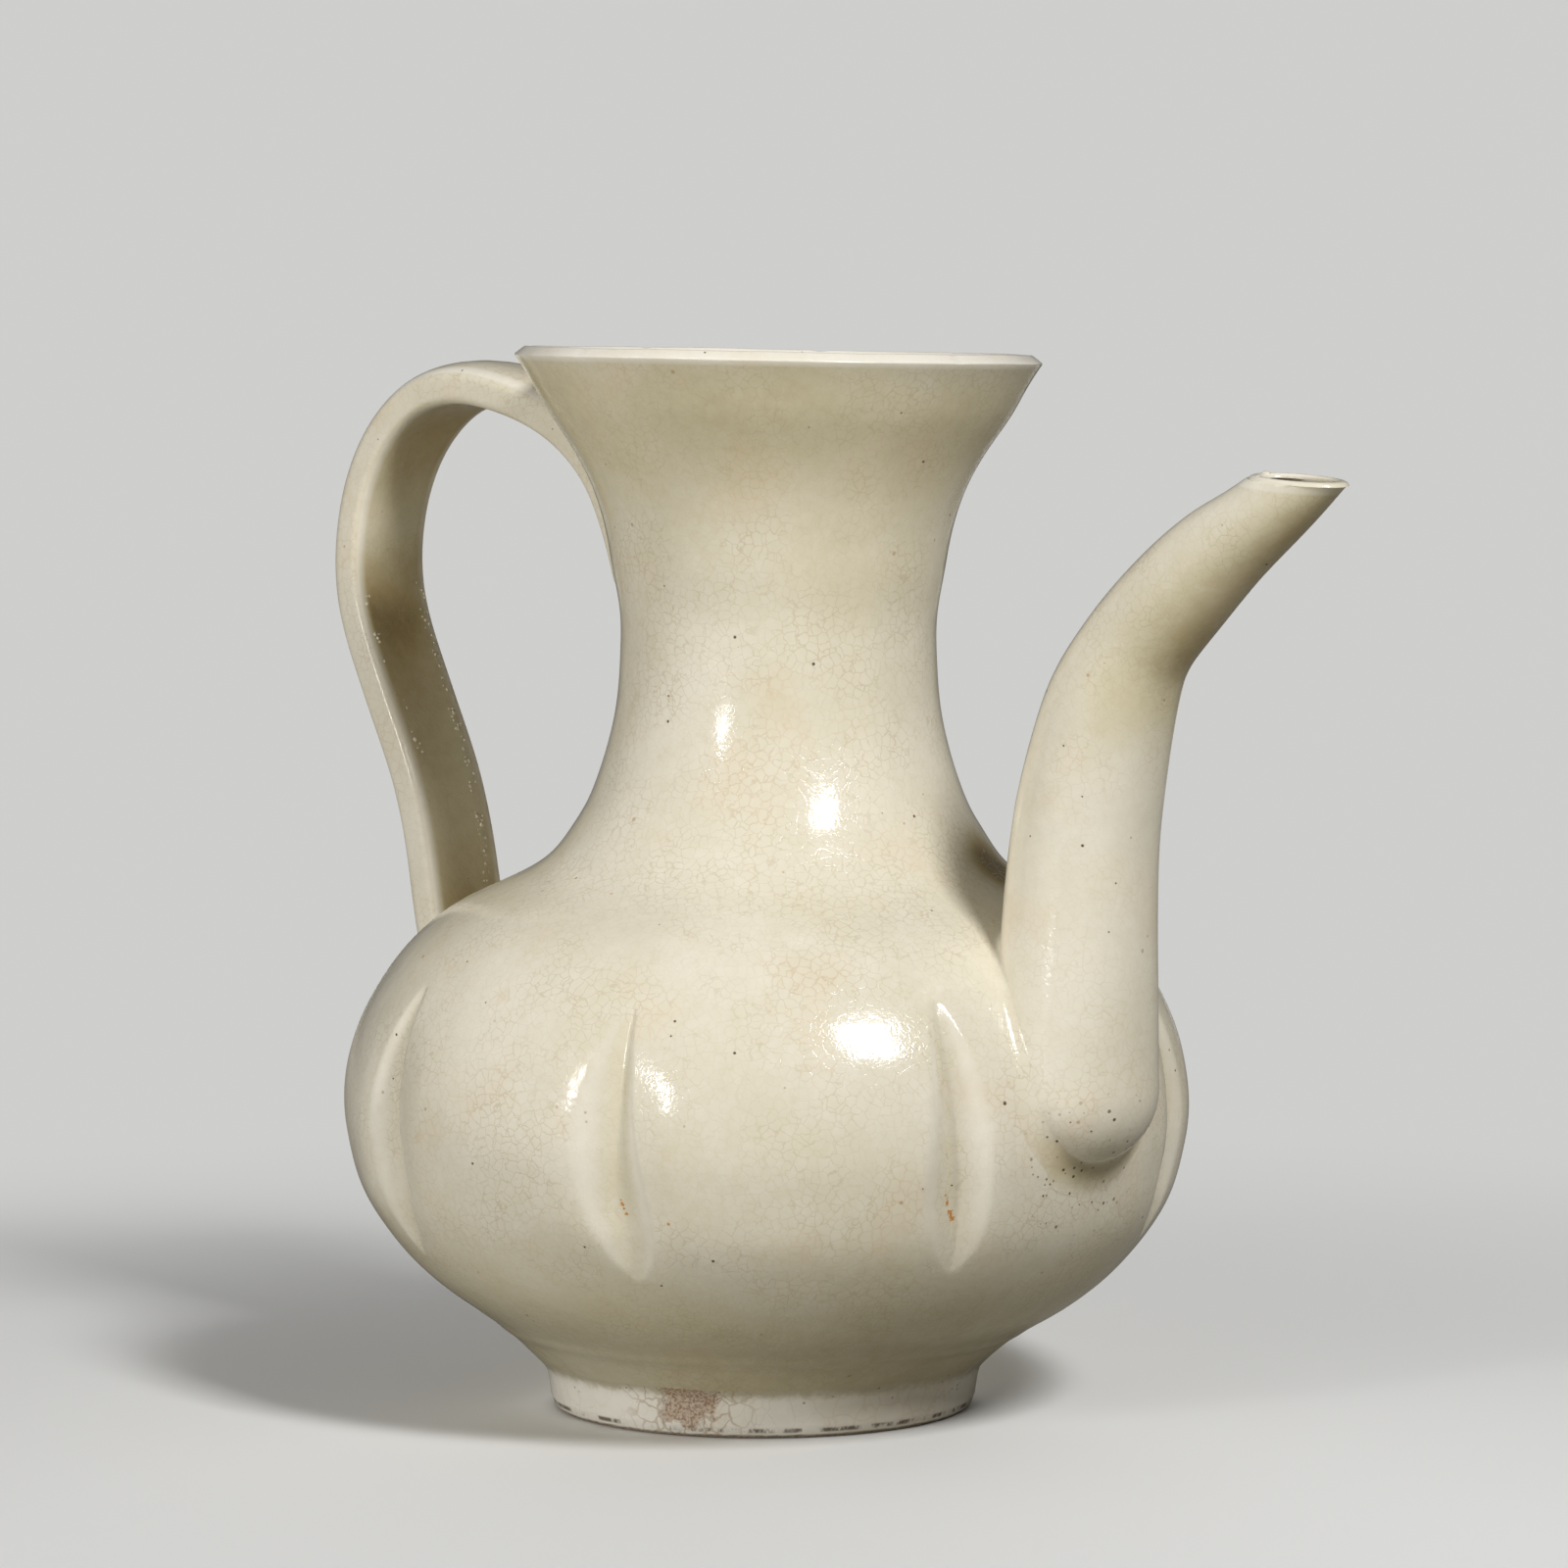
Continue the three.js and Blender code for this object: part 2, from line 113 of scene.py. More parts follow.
# %% Draw the outline through the measured points
rings = [  # the foot's top, the belly, the neck's base, its waist and the lip
    (foot_top_radius, foot_height), (belly_radius, belly_height),
    (neck_base_radius, neck_base_height), (neck_waist_radius, neck_waist_height),
    (lip_radius, lip_height)]
wall_shares = [  # the way from each ring to the next, by shares of radius and height
    [(.19, .125), (.495, .275), (.705, .42), (.9, .63), (.982, .845)],
    [(.028, .156), (.09, .307), (.2, .467), (.339, .6), (.509, .705), (.689, .77), (.863, .85),
     (.952, .934)],
    [(.29, .116), (.675, .39), (.916, .665)],
    [(.011, .12), (.079, .259), (.143, .398), (.259, .542), (.455, .681), (.714, .82),
     (.85, .915)]]
foot_side_shares = [(.24, .1), (.34, .39), (.45, .66), (.6, .84)]


def between(start, end, shares):
    """Points between two rings, by shares of the change in radius and in height."""
    return [(start[0] + (end[0] - start[0]) * out, start[1] + (end[1] - start[1]) * up)
            for out, up in shares]


def spline_through(points, steps=60):
    """A smooth curve through points: the same uniform spline that the solids follow."""
    p = np.array(points, float)
    curve = []
    for i in range(len(p) - 1):
        a, b, c, d = p[max(i - 1, 0)], p[i], p[i + 1], p[min(i + 2, len(p) - 1)]
        t = np.arange(steps)[:, None] / steps
        leave, arrive = (c - a) / 2, (d - b) / 2
        curve.append((2 * b - 2 * c + leave + arrive) * t ** 3
                     + (3 * c - 3 * b - 2 * leave - arrive) * t ** 2 + leave * t + b)
    return np.vstack(curve + [p[-1:]])


wall_points = rings[:1]
for low, high, shares in zip(rings, rings[1:], wall_shares):
    wall_points += between(low, high, shares) + [high]
wall_curve = spline_through(wall_points)
print("outline drawn with", len(wall_curve), "points")

# %% Ease the outline, and keep it as radius against height
table_step = 0.1
table_heights = np.arange(foot_edge, lip_height + table_step / 2, table_step)
turning_ridge_height, turning_ridge_rise, turning_ridge_spread = 15.0, 0.22, 0.9


def bell(spread, step, width):
    """The weights of a bell curve that goes so many spreads either way, and its reach in steps."""
    reach = int(width * spread / step)
    weights = np.exp(-0.5 * (np.arange(-reach, reach + 1) * step / spread) ** 2)
    return weights / weights.sum(), reach


def eased(values, spread, step, width=3):
    """Values smoothed over a spread in millimetres, with both ends carried on straight."""
    weights, reach = bell(spread, step, width)
    ahead = 2 * values[0] - values[reach:0:-1]
    behind = 2 * values[-1] - values[-2:-reach - 2:-1]
    return np.convolve(np.concatenate([ahead, values, behind]), weights, "valid")


foot_side = between((foot_radius, 0), rings[0], foot_side_shares)
table_radii = np.interp(
    table_heights, [h for _, h in foot_side] + list(wall_curve[:, 1]),
    [r for r, _ in foot_side] + list(wall_curve[:, 0]))
tight, loose = [eased(table_radii, spread, table_step, width=4) for spread in (0.4, 1.8)]
blend = np.clip((table_heights - foot_height - 2) / 5, 0, 1)
table_radii = tight * (1 - blend) + loose * blend
table_radii += turning_ridge_rise * np.exp(
    -((table_heights - turning_ridge_height) / turning_ridge_spread) ** 2)
table_slopes = np.gradient(table_radii, table_step)


def wall_radius(height):
    return np.interp(height, table_heights, table_radii)


def wall_slope(height):
    return np.interp(height, table_heights, table_slopes)


def inner_radius(height):
    """The inner side of the wall, which thins from the neck's base up to the lip."""
    up = np.clip((height - neck_base_height) / (lip_height - neck_base_height), 0, 1)
    thickness = body_wall + (lip_wall - body_wall) * up
    return wall_radius(height) - thickness * np.sqrt(1 + wall_slope(height) ** 2)


print("belly", round(float(wall_radius(belly_height)), 2), "mm, waist",
      round(float(wall_radius(neck_waist_height)), 2), "mm")

# %% [markdown]
# ## The lean
# The pot leans a little on its foot, and the neck sits slightly off the middle. Both happened
# after throwing, so the meshes are made upright and moved afterwards. The same move is needed
# twice: here in numbers, to find the wall from the spout and the handle, and in the flutes'
# Geometry Nodes, which move the meshes themselves.

# %% Lean a point, and measure how far a point is from the wall
def smoothstep(value, low, high):
    t = np.clip((np.asarray(value, float) - low) / (high - low), 0, 1)
    return t * t * (3 - 2 * t)


def unit(ways):
    """Directions scaled to length one."""
    return ways / np.linalg.norm(ways, axis=-1, keepdims=True)


def axis_x(height):
    """Where the pot's own axis is at a height."""
    climb = np.clip(height, foot_height, neck_base_height) - foot_height
    return (foot_centre_x + climb * math.sin(lean_angle)
            + neck_offset * smoothstep(height, belly_height, neck_base_height))


def lean(radius, height, angle):
    """A point of the leaning pot from its radius, height and angle on the upright one."""
    tilt = lean_angle * smoothstep(height, foot_height, foot_height + lean_ease)
    run = radius * np.cos(angle)
    return np.stack([axis_x(height) + run * np.cos(tilt), radius * np.sin(angle),
                     height - run * np.sin(tilt)], -1)


def outside_wall(points):
    """How far points lie outside the wall; points under the clay get less than nothing."""
    x, y, z = np.moveaxis(np.asarray(points, float), -1, 0)
    height = z
    for _ in range(4):
        height = z + (x - axis_x(height)) * math.tan(lean_angle)
    run = (x - axis_x(height)) / math.cos(lean_angle)
    return (np.hypot(run, y) - wall_radius(height)) / np.sqrt(1 + wall_slope(height) ** 2)


def away_from_wall(points, step=0.05):
    """The wall's outward direction at points."""
    moves = np.eye(3) * step
    return unit(np.stack([outside_wall(points + m) - outside_wall(points - m) for m in moves], -1))


def onto_wall(points):
    """Points moved square to the wall until they lie on it."""
    for _ in range(5):
        points = points - outside_wall(points)[..., None] * away_from_wall(points)
    return points


print("the axis moves from", round(float(axis_x(foot_height)), 2), "to",
      round(float(axis_x(neck_waist_height)), 2), "mm")

# %% [markdown]
# ## From rows of points to a closed skin
# All clay pieces here are loops of points stacked in rows. Small helpers close such rows into a
# mesh and put it into the scene. Edges sharper than forty degrees stay crisp, so a joint's flat
# face does not spoil the shading of the round wall beside it.

# %% Helpers that make a mesh from rows
crisp_angle = math.radians(40)


def row_faces(rows, sides, closed=False):
    """Quads between stacked rows of points, each row a loop."""
    row = np.arange(rows if closed else rows - 1)[:, None]
    side = np.arange(sides)[None, :]
    below, above = row * sides, (row + 1) % rows * sides
    turn = (side + 1) % sides
    quads = np.stack([below + side, below + turn, above + turn, above + side], -1)
    return quads.reshape(-1, 4).tolist()


def capped_faces(rows, sides):
    """The same quads, with a flat face on the first and on the last row."""
    last = (rows - 1) * sides
    return row_faces(rows, sides) + [list(range(sides))[::-1], list(range(last, last + sides))]


def put_in_scene(name, data):
    made = bpy.data.objects.new(name, data)
    bpy.context.scene.collection.objects.link(made)
    return made


def new_object(name, points, edges=(), faces=()):
    """A new object from points in millimetres."""
    mesh = bpy.data.meshes.new(name)
    mesh.from_pydata((np.asarray(points).reshape(-1, 3) * MM).tolist(), edges, faces)
    return put_in_scene(name, mesh)


def tell(made):
    """Says how fine a finished piece is."""
    print(made.name, len(made.data.polygons), "faces")
    return made


def shade(made):
    """Smooth shading with crisp edges."""
    made.data.shade_smooth()
    made.data.set_sharp_from_angle(angle=crisp_angle)
    return made


def skin_object(name, points, faces):
    made = new_object(name, points, [], faces)
    made.data.validate()
    return shade(made)


def points_of(made):
    """An object's points in millimetres."""
    flat = np.empty(len(made.data.vertices) * 3, np.float32)
    made.data.vertices.foreach_get("co", flat)
    return flat.reshape(-1, 3).astype(float) / MM


def mark(made, kind="FLOAT", **rows):
    """Stores numbers or vectors on the points, which a material or a node tree can read."""
    field = "vector" if kind == "FLOAT_VECTOR" else "value"
    for name, values in rows.items():
        made.data.attributes.new(name, kind, "POINT").data.foreach_set(
            field, np.asarray(values, np.float32).ravel())


print("mesh helpers ready")

# %% [markdown]
# ## Turned rings
# A turned piece is its section spun round the axis. Screw or Spin would do it, but the section
# is spun here with more steps near each flute, where the clay bends sharply, and fewer between.

# %% Choose the angles, and spin a section
flute_count = 8
steps_per_lobe = 64
crowding = 0.62  # how much closer the steps lie beside a flute
row_step, inner_row_step = 0.8, 2.6
lobe_angle = 2 * math.pi / flute_count
inner_press = 0.4  # a flute shows less on the inside of the wall


def lobe_steps():
    """Shares of the way from one flute to the next, crowded near both flutes."""
    even = np.arange(steps_per_lobe) / steps_per_lobe
    return even - crowding * np.sin(2 * math.pi * even) / (2 * math.pi)


turn_angles = np.concatenate([(lobe + 0.5 + lobe_steps()) * lobe_angle
                              for lobe in range(flute_count)])
sides = len(turn_angles)


def walked(steps):
    """How far one has come after each of some steps."""
    return np.concatenate([[0], np.cumsum(steps)])


def levels(low, high, step=row_step):
    """Heights from low to high, an even step apart along the wall, and close at both ends."""
    fine = np.linspace(low, high, 2000)
    length = walked(np.hypot(np.diff(fine), np.diff(wall_radius(fine))))
    rows = max(2, math.ceil(length[-1] / step))
    heights = np.interp(np.linspace(0, length[-1], rows + 1), length, fine)
    seam = 0.06
    return np.concatenate([[low, low + seam], heights[1:-1], [high - seam, high]])


def outside_at(heights):
    return [(wall_radius(height), height) for height in heights]


def inside_at(heights):
    return [(inner_radius(height), height) for height in heights]


# How much darker the glaze is at each height, low on the bowl and under the flare of the lip:
# partly glaze that gathered there, and partly painted shade, as these parts face down, away from
# the light
glaze_run_and_shade_heights = [9, 18, 34, 60, 140, 162, 182, 188]
glaze_run_and_shade = [0.16, 0.13, 0.03, 0, 0, 0.15, 0.24, 0.05]


def turned(name, section, press=0.0, thin=0.0, poles=False):
    """A section of (radius, height) points spun round the pot's axis, and still upright. It
    closes on itself, or with poles on the axis at both ends. Press says how much of a flute each
    row takes, and thin how far the glaze drew off it."""
    section = np.asarray(section, float)
    radius, height = section[:, 0, None], section[:, 1, None]
    points = np.stack([radius * np.cos(turn_angles), radius * np.sin(turn_angles),
                       height + 0 * turn_angles[None, :]], -1).reshape(-1, 3)
    faces = row_faces(len(section), sides, closed=not poles)
    # Darker rows low on the bowl and under the lip: pooled glaze and painted shade
    pooled = np.interp(section[:, 1], glaze_run_and_shade_heights, glaze_run_and_shade)
    press, thin, pooled = [np.repeat(np.zeros(len(section)) + row_values, sides)
                           for row_values in (press, thin, pooled)]
    if poles:
        low, high, last = len(points), len(points) + 1, len(points) - sides
        points = np.vstack([points, [0, 0, height[0, 0]], [0, 0, height[-1, 0]]])
        press, thin, pooled = [np.append(v, [0, 0]) for v in (press, thin, pooled)]
        for side in range(sides):
            turn = (side + 1) % sides
            faces += [[low, turn, side], [high, last + side, last + turn]]
    made = skin_object(name, points, faces)
    mark(made, press=press, thin=thin, pooled=pooled)
    return made


def wall_ring(name, low, high, step=row_step, inner_step=inner_row_step):
    """The wall between two heights: up the outside, then down the inside."""
    outer, inner = levels(low, high, step), levels(low, high, inner_step)[::-1]
    return turned(name, outside_at(outer) + inside_at(inner),
                  press=[1.0] * len(outer) + [inner_press] * len(inner))


print(sides, "steps round the pot")

# %% [markdown]
# ## Small builders for node trees
# Geometry Nodes and materials are both node trees. A value of such a tree is kept here together
# with its tree, so that a plain sum written with it becomes the math nodes for that sum.

# %% Helpers that build node trees
class Value:
    """A number, a vector or a colour in a node tree."""

    def __init__(self, tree, socket):
        self.tree, self.socket = tree, socket

    def __add__(self, other):
        return calc("ADD", self, other)

    def __radd__(self, other):
        return calc("ADD", other, self)

    def __sub__(self, other):
        return calc("SUBTRACT", self, other)

    def __rsub__(self, other):
        return calc("SUBTRACT", other, self)

    def __mul__(self, other):
        return calc("MULTIPLY", self, other)

    def __rmul__(self, other):
        return calc("MULTIPLY", other, self)

    def __truediv__(self, other):
        return calc("DIVIDE", self, other)

    def __rtruediv__(self, other):
        return calc("DIVIDE", other, self)


def node(tree, kind, inputs=(), **settings):
    """Adds a node. Inputs are values to link or plain numbers, by order or by name."""
    made = tree.nodes.new(kind)
    for name, setting in settings.items():
        setattr(made, name, setting)
    for key, given in inputs.items() if isinstance(inputs, dict) else enumerate(inputs):
        if isinstance(given, Value):
            tree.links.new(given.socket, made.inputs[key])
        else:
            made.inputs[key].default_value = given
    return made


def value_of(tree, kind, inputs=(), output=0, **settings):
    """Adds a node, and gives one of its outputs."""
    return Value(tree, node(tree, kind, inputs, **settings).outputs[output])


def values_of(tree, kind, inputs=(), **settings):
    """Adds a node, and gives all its outputs by name."""
    return {s.name: Value(tree, s) for s in node(tree, kind, inputs, **settings).outputs}


def calc(operation, *values, clamp=False):
    """A math node on numbers, at least one of which lies in a tree."""
    tree = next(value.tree for value in values if isinstance(value, Value))
    return value_of(tree, "ShaderNodeMath", values, operation=operation, use_clamp=clamp)


def vector_calc(operation, *values, output="Vector"):
    return value_of(values[0].tree, "ShaderNodeVectorMath", values, output, operation=operation)


def scaled(vector, factor):
    return value_of(vector.tree, "ShaderNodeVectorMath", {0: vector, "Scale": factor},
                    operation="SCALE")


def parts_of(vector):
    return values_of(vector.tree, "ShaderNodeSeparateXYZ", [vector])


def step(value, low, high):
    """Runs smoothly from 0 to 1 while a value goes from low to high, where low may be above."""
    return value_of(value.tree, "ShaderNodeMapRange",
                    {"Value": value, "From Min": low, "From Max": high},
                    interpolation_type="SMOOTHSTEP")


def blended(factor, under, over):
    """The over colour laid on the under colour by a factor."""
    under, over = [c if isinstance(c, Value) else (*c, 1) for c in (under, over)]
    return value_of(factor.tree, "ShaderNodeMix", {0: factor, 6: under, 7: over}, 2,
                    data_type="RGBA")


def painted(colour, *coats):
    """A colour under several coats, each a factor and a colour."""
    for factor, coat in coats:
        colour = blended(factor, colour, coat)
    return colour


def curve_of(value, points):
    """A number drawn through a hand set curve from 0 to 1."""
    made = node(value.tree, "ShaderNodeFloatCurve", {"Value": value})
    line = made.mapping.curves[0]
    line.points[0].location, line.points[-1].location = points[0], points[-1]
    for point in points[1:-1]:
        line.points.new(*point)
    made.mapping.update()
    return Value(value.tree, made.outputs[0])


print("node helpers ready")

# %% Helpers for Geometry Nodes
def geometry_tree(name, sizes):
    """A Geometry Nodes tree with a mesh in, a mesh out and a named input for each size."""
    tree = bpy.data.node_groups.new(name, "GeometryNodeTree")
    tree.interface.new_socket("Geometry", in_out="INPUT", socket_type="NodeSocketGeometry")
    for size_name, given in sizes.items():
        kind = {int: "Int", float: "Float"}.get(type(given), "Material")
        tree.interface.new_socket(size_name, in_out="INPUT", socket_type="NodeSocket" + kind)
    tree.interface.new_socket("Geometry", in_out="OUTPUT", socket_type="NodeSocketGeometry")
    return tree, values_of(tree, "NodeGroupInput")


def named_value(tree, name, kind="FLOAT"):
    return value_of(tree, "GeometryNodeInputNamedAttribute", {"Name": name}, data_type=kind)


def stored(geometry, kind="FLOAT", **values):
    """The geometry with values stored on its points by name."""
    for name, value in values.items():
        geometry = value_of(geometry.tree, "GeometryNodeStoreNamedAttribute", {
            "Geometry": geometry, "Name": name, "Value": value}, data_type=kind)
    return geometry


def finish_tree(geometry, material):
    """Ends a tree the way the export needs it: real meshes with their material set."""
    tree = geometry.tree
    real = value_of(tree, "GeometryNodeRealizeInstances", [geometry])
    dressed = value_of(tree, "GeometryNodeSetMaterial", {"Geometry": real, "Material": material})
    node(tree, "NodeGroupOutput", [dressed])
    print(tree.name, "has", len(tree.nodes), "nodes")


def keep_result(made):
    """Turns an object's modifiers into its plain mesh."""
    graph = bpy.context.evaluated_depsgraph_get()
    mesh = bpy.data.meshes.new_from_object(
        made.evaluated_get(graph), preserve_all_data_layers=True, depsgraph=graph)
    old = made.data
    made.modifiers.clear()
    made.data = mesh
    mesh.name = made.name
    bpy.data.meshes.remove(old)


def run_nodes(made, tree, sizes):
    """Runs a tree on an object and keeps the result as its plain mesh."""
    modifier = made.modifiers.new(tree.name, "NODES")
    modifier.node_group = tree
    names = {s.name: s.identifier for s in tree.interface.items_tree if s.in_out == "INPUT"}
    for name, value in sizes.items():
        modifier[names[name]] = value
    keep_result(made)
    return made


ivory, foot_finish, joint_finish = [
    bpy.data.materials.new(name) for name in ("ivory_glaze", "foot_glaze", "joint_glaze")]
print("three finishes named")

# %% [markdown]
# ## The flutes
# Eight grooves were pressed into the leather hard belly with the side of a stick. Each is a soft
# channel that starts narrow on the shoulder, widens downwards and ends in a blunt point. Round
# it the wall sank in a wide shallow valley. The stick was held a little to one side each time, so
# one wall of a flute is steep and short and the other long and flat, and no crease is quite in
# its even place. It could be sculpted, but it follows a rule, so Geometry Nodes press it: each
# point knows how far round it lies from the nearest flute and how far up, and curves give the
# flute's width and depth there. Small changes from flute to flute show the hand. The same tree
# then leans the pot, because a pot leans only after it was fluted.
#
# The tree also leaves two numbers on every point for the glaze: one for where it is darker,
# from glaze that pooled and from painted shade in the channels and on low parts, and thin, where
# it drew off an edge.

# %% Name the sizes of the flutes
flute_values = {
    "Count": flute_count, "Depth": 1.8 * MM, "Width": 15.0 * MM, "Length": 47.0 * MM,
    "Middle": (belly_height - 0.7) * MM, "Ring Tilt": 2.0 * MM, "Softness": 0.45,
    "Skew": 0.6, "Shift": 4.4 * MM, "Valley Depth": 1.6 * MM, "Valley Width": 25.0 * MM,
    "Spout Clearance": 21.0 * MM, "Flat Side Of": 7.0, "Hand Change": 0.12, "Seed": 4,
    "Lean": lean_angle, "Foot Height": foot_height * MM, "Lean Ease": lean_ease * MM,
    "Belly Height": belly_height * MM, "Neck Height": neck_base_height * MM,
    "Neck Offset": neck_offset * MM, "Axis X": foot_centre_x * MM, "Material": ivory}
low_flute_turn = math.radians(67.5)
aside_turn, aside_start = 1.12, -4.33
stick_turn, stick_start = 1.5, -5.2
channel_fullness = 1.15
channel_pool_and_shade = 0.14
rim_place, rim_reach, rim_thinning = 0.8, 0.42, 0.38
waver_scale, waver_size = 28.0, 0.6 * MM
aside_curve = [(0, .15), (.15, .45), (.35, .85), (.6, 1), (1, .95)]
width_curve = [
    (0, 0), (.05, .38), (.14, .7), (.27, .86), (.45, .84), (.65, .68), (.85, .44), (1, .12)]
depth_curve = [(0, 0), (.06, .3), (.18, .72), (.36, .95), (.6, 1), (.82, .8), (.95, .4), (1, 0)]
skew_curve = [(0, 0), (.2, .2), (.4, .55), (.65, .9), (1, 1)]
valley_curve = [
    (0, 0), (.15, .42), (.33, .9), (.48, 1), (.62, .85), (.8, .42), (.92, .1), (1, 0)]
print(len(flute_values), "named inputs")

# %% Find the nearest flute, and how its hand made sizes differ
flute_tree, size = geometry_tree("pressed_flutes", flute_values)
place = parts_of(value_of(flute_tree, "GeometryNodeInputPosition"))
turn = calc("ARCTAN2", place["Y"], place["X"])
radius = calc("SQRT", place["X"] * place["X"] + place["Y"] * place["Y"])
pitch = 2 * math.pi / size["Count"]
which = calc("FLOOR", (turn + 2 * math.pi) / pitch)
middle = size["Middle"] + size["Ring Tilt"] * calc("SINE", turn + low_flute_turn)


def by_hand(offset, share=1.0):
    """A fixed random factor near 1 for each flute."""
    change = size["Hand Change"] * share
    return value_of(flute_tree, "FunctionNodeRandomValue", {
        "ID": which, "Seed": size["Seed"] + offset, 2: 1.0 - change, 3: 1.0 + change}, 1,
        data_type="FLOAT")


# How far up the flute a point lies, from its lower tip to its upper one
up = calc("ADD", 0.5, (place["Z"] - middle) / (size["Length"] * by_hand(1, 0.2)), clamp=True)

# Each crease is moved aside from its even place, mostly in its upper part
moved_aside = size["Shift"] * curve_of(up, aside_curve) * calc(
    "COSINE", which * aside_turn + aside_start)
from_flute = calc("FLOORED_MODULO", turn, pitch) - (pitch * 0.5 + moved_aside / radius)

# The stick leaned over by turns: this runs from -1 to 1 and differs for every flute
leaning_stick = size["Skew"] * calc("COSINE", which * stick_turn + stick_start)
print("each flute has its own place, length and lean")

# %% Press the flutes
depth_up = curve_of(up, depth_curve)
is_right = calc("GREATER_THAN", from_flute, 0)
skew = leaning_stick * curve_of(up, skew_curve)

# How far aside it lies, as a share of the half width on its own side
left_part = (1.0 - is_right) * ((1.0 - skew) * by_hand(2))
side_part = left_part + is_right * ((1.0 + skew) * by_hand(3))
half_width = calc("MAXIMUM", 0.0001,
                  size["Width"] * 0.5 * (curve_of(up, width_curve) * side_part))
arc = calc("ABSOLUTE", from_flute) * radius
aside = arc / half_width
soft = size["Softness"]


def rounded_off(value):
    """Takes the sharp point off a V, over a distance given by the softness."""
    return calc("SQRT", value * value + soft * soft) - soft


channel = calc("SUBTRACT", 1.0, rounded_off(aside) / rounded_off(1.0), clamp=True)
channel = calc("POWER", channel, channel_fullness) * depth_up
press = named_value(flute_tree, "press")
press_in = channel * (press * (size["Depth"] * by_hand(4)))

# The valley keeps off the spout, and off the side of the flute beside it that stayed full
flat_side = calc("COMPARE", which, size["Flat Side Of"], 0.5) * (1.0 - is_right)
valley = curve_of(up, valley_curve) * (1.0 - flat_side)
valley = valley * step(arc, size["Valley Width"] * 0.5, 0.0)
valley = valley * step(calc("ABSOLUTE", turn) * radius, size["Spout Clearance"],
                       size["Spout Clearance"] * 1.5)
press_in = press_in + press * (valley * size["Valley Depth"])

# Glaze pooled in each channel, and its crease gets painted shade too; the rows add pooled glaze
# and painted shade by height
hollow = (press * (channel_pool_and_shade * calc("POWER", channel, 2.0))
          + named_value(flute_tree, "pooled"))
rim = step(calc("ABSOLUTE", aside - rim_place), rim_reach, 0.0)
rim = rim * (press * (rim_thinning * depth_up))
thin = calc("MAXIMUM", rim, named_value(flute_tree, "thin"))
print("channels and valleys pressed")

# %% Lean the pot
# A thrown wall is never perfectly round: a slow noise moves it by a tenth of a millimetre
waver = value_of(flute_tree, "ShaderNodeTexNoise", {"Scale": waver_scale, "Detail": 2.0})
pressed = radius - press_in + (waver - 0.5) * waver_size

foot_level, neck_level = size["Foot Height"], size["Neck Height"]
tilt = size["Lean"] * step(place["Z"], foot_level, foot_level + size["Lean Ease"])
climb = calc("MINIMUM", calc("MAXIMUM", place["Z"], foot_level), neck_level) - foot_level
shift = (size["Axis X"] + climb * calc("SINE", size["Lean"])
         + size["Neck Offset"] * step(place["Z"], size["Belly Height"], neck_level))
run = pressed * calc("COSINE", turn)
leaning = value_of(flute_tree, "ShaderNodeCombineXYZ", [
    shift + run * calc("COSINE", tilt), pressed * calc("SINE", turn),
    place["Z"] - run * calc("SINE", tilt)])
moved = value_of(flute_tree, "GeometryNodeSetPosition", {
    "Geometry": stored(size["Geometry"], hollow=hollow, thin=thin), "Position": leaning})
finish_tree(moved, size["Material"])

# %% Turn the two bowls and their slip beds, and flute and lean them
half_luting = luting_thickness / 2
waist_low, waist_high = belly_height - half_luting, belly_height + half_luting
neck_low, neck_high = neck_base_height - half_luting, neck_base_height + half_luting
floor_height = body_start_height + floor_thickness
corner_height = floor_height + 2.5  # where the floor's round corner ends


def flute_and_lean(made, finish):
    return tell(shade(run_nodes(made, flute_tree, {**flute_values, "Material": finish})))


outer = levels(body_start_height, waist_low)
underside = [(r, body_start_height) for r in np.linspace(2, 38, 10)]
floor_edge = inner_radius(corner_height)
inner = inside_at(levels(corner_height, waist_low, inner_row_step)[::-1])
inner += [(floor_edge - 1.3, floor_height + 1), (floor_edge - 3.6, floor_height)]
inner += [(r, floor_height) for r in np.linspace(floor_edge - 6, 2, 8)]
lower_body = flute_and_lean(turned(
    "lower_bowl", underside + outside_at(outer) + inner, poles=True,
    press=[0.0] * len(underside) + [1.0] * len(outer) + [inner_press] * len(inner)), ivory)

waist_bed = flute_and_lean(wall_ring("waist_slip", waist_low, waist_high, 0.5, 1.0), joint_finish)
upper_body = flute_and_lean(wall_ring("upper_bowl", waist_high, neck_low), ivory)
neck_bed = flute_and_lean(wall_ring("neck_slip", neck_low, neck_high, 0.5, 1.0), joint_finish)

# %% [markdown]
# ## The lip and the foot
# The lip was cut square to the flaring wall with a wire and then wiped, so it is a thin bevel
# with soft corners and a few small chips, and it sits a little lower than it was cut. The foot
# ring was turned with a flat tool: a slight flare, an eased standing edge and a flat face to
# stand on. Both are turned sections again, with their corners rounded by short curves.

# %% Turn the neck with its soft lip
def softened(points, reaches, steps):
    """The corners of a section, each as a short curve that reaches so far either way. A corner
    with no reach only gives its neighbour a direction."""
    points = [np.array(p, float) for p in points]
    result = []
    for i, (corner, reach) in enumerate(zip(points, reaches)):
        if not reach:
            continue
        before, after = points[i - 1] - corner, points[(i + 1) % len(points)] - corner
        start = corner + before / np.linalg.norm(before) * reach
        end = corner + after / np.linalg.norm(after) * reach
        for t in np.linspace(0, 1, steps):
            result.append((1 - t) ** 2 * start + 2 * t * (1 - t) * corner + t ** 2 * end)
    return result


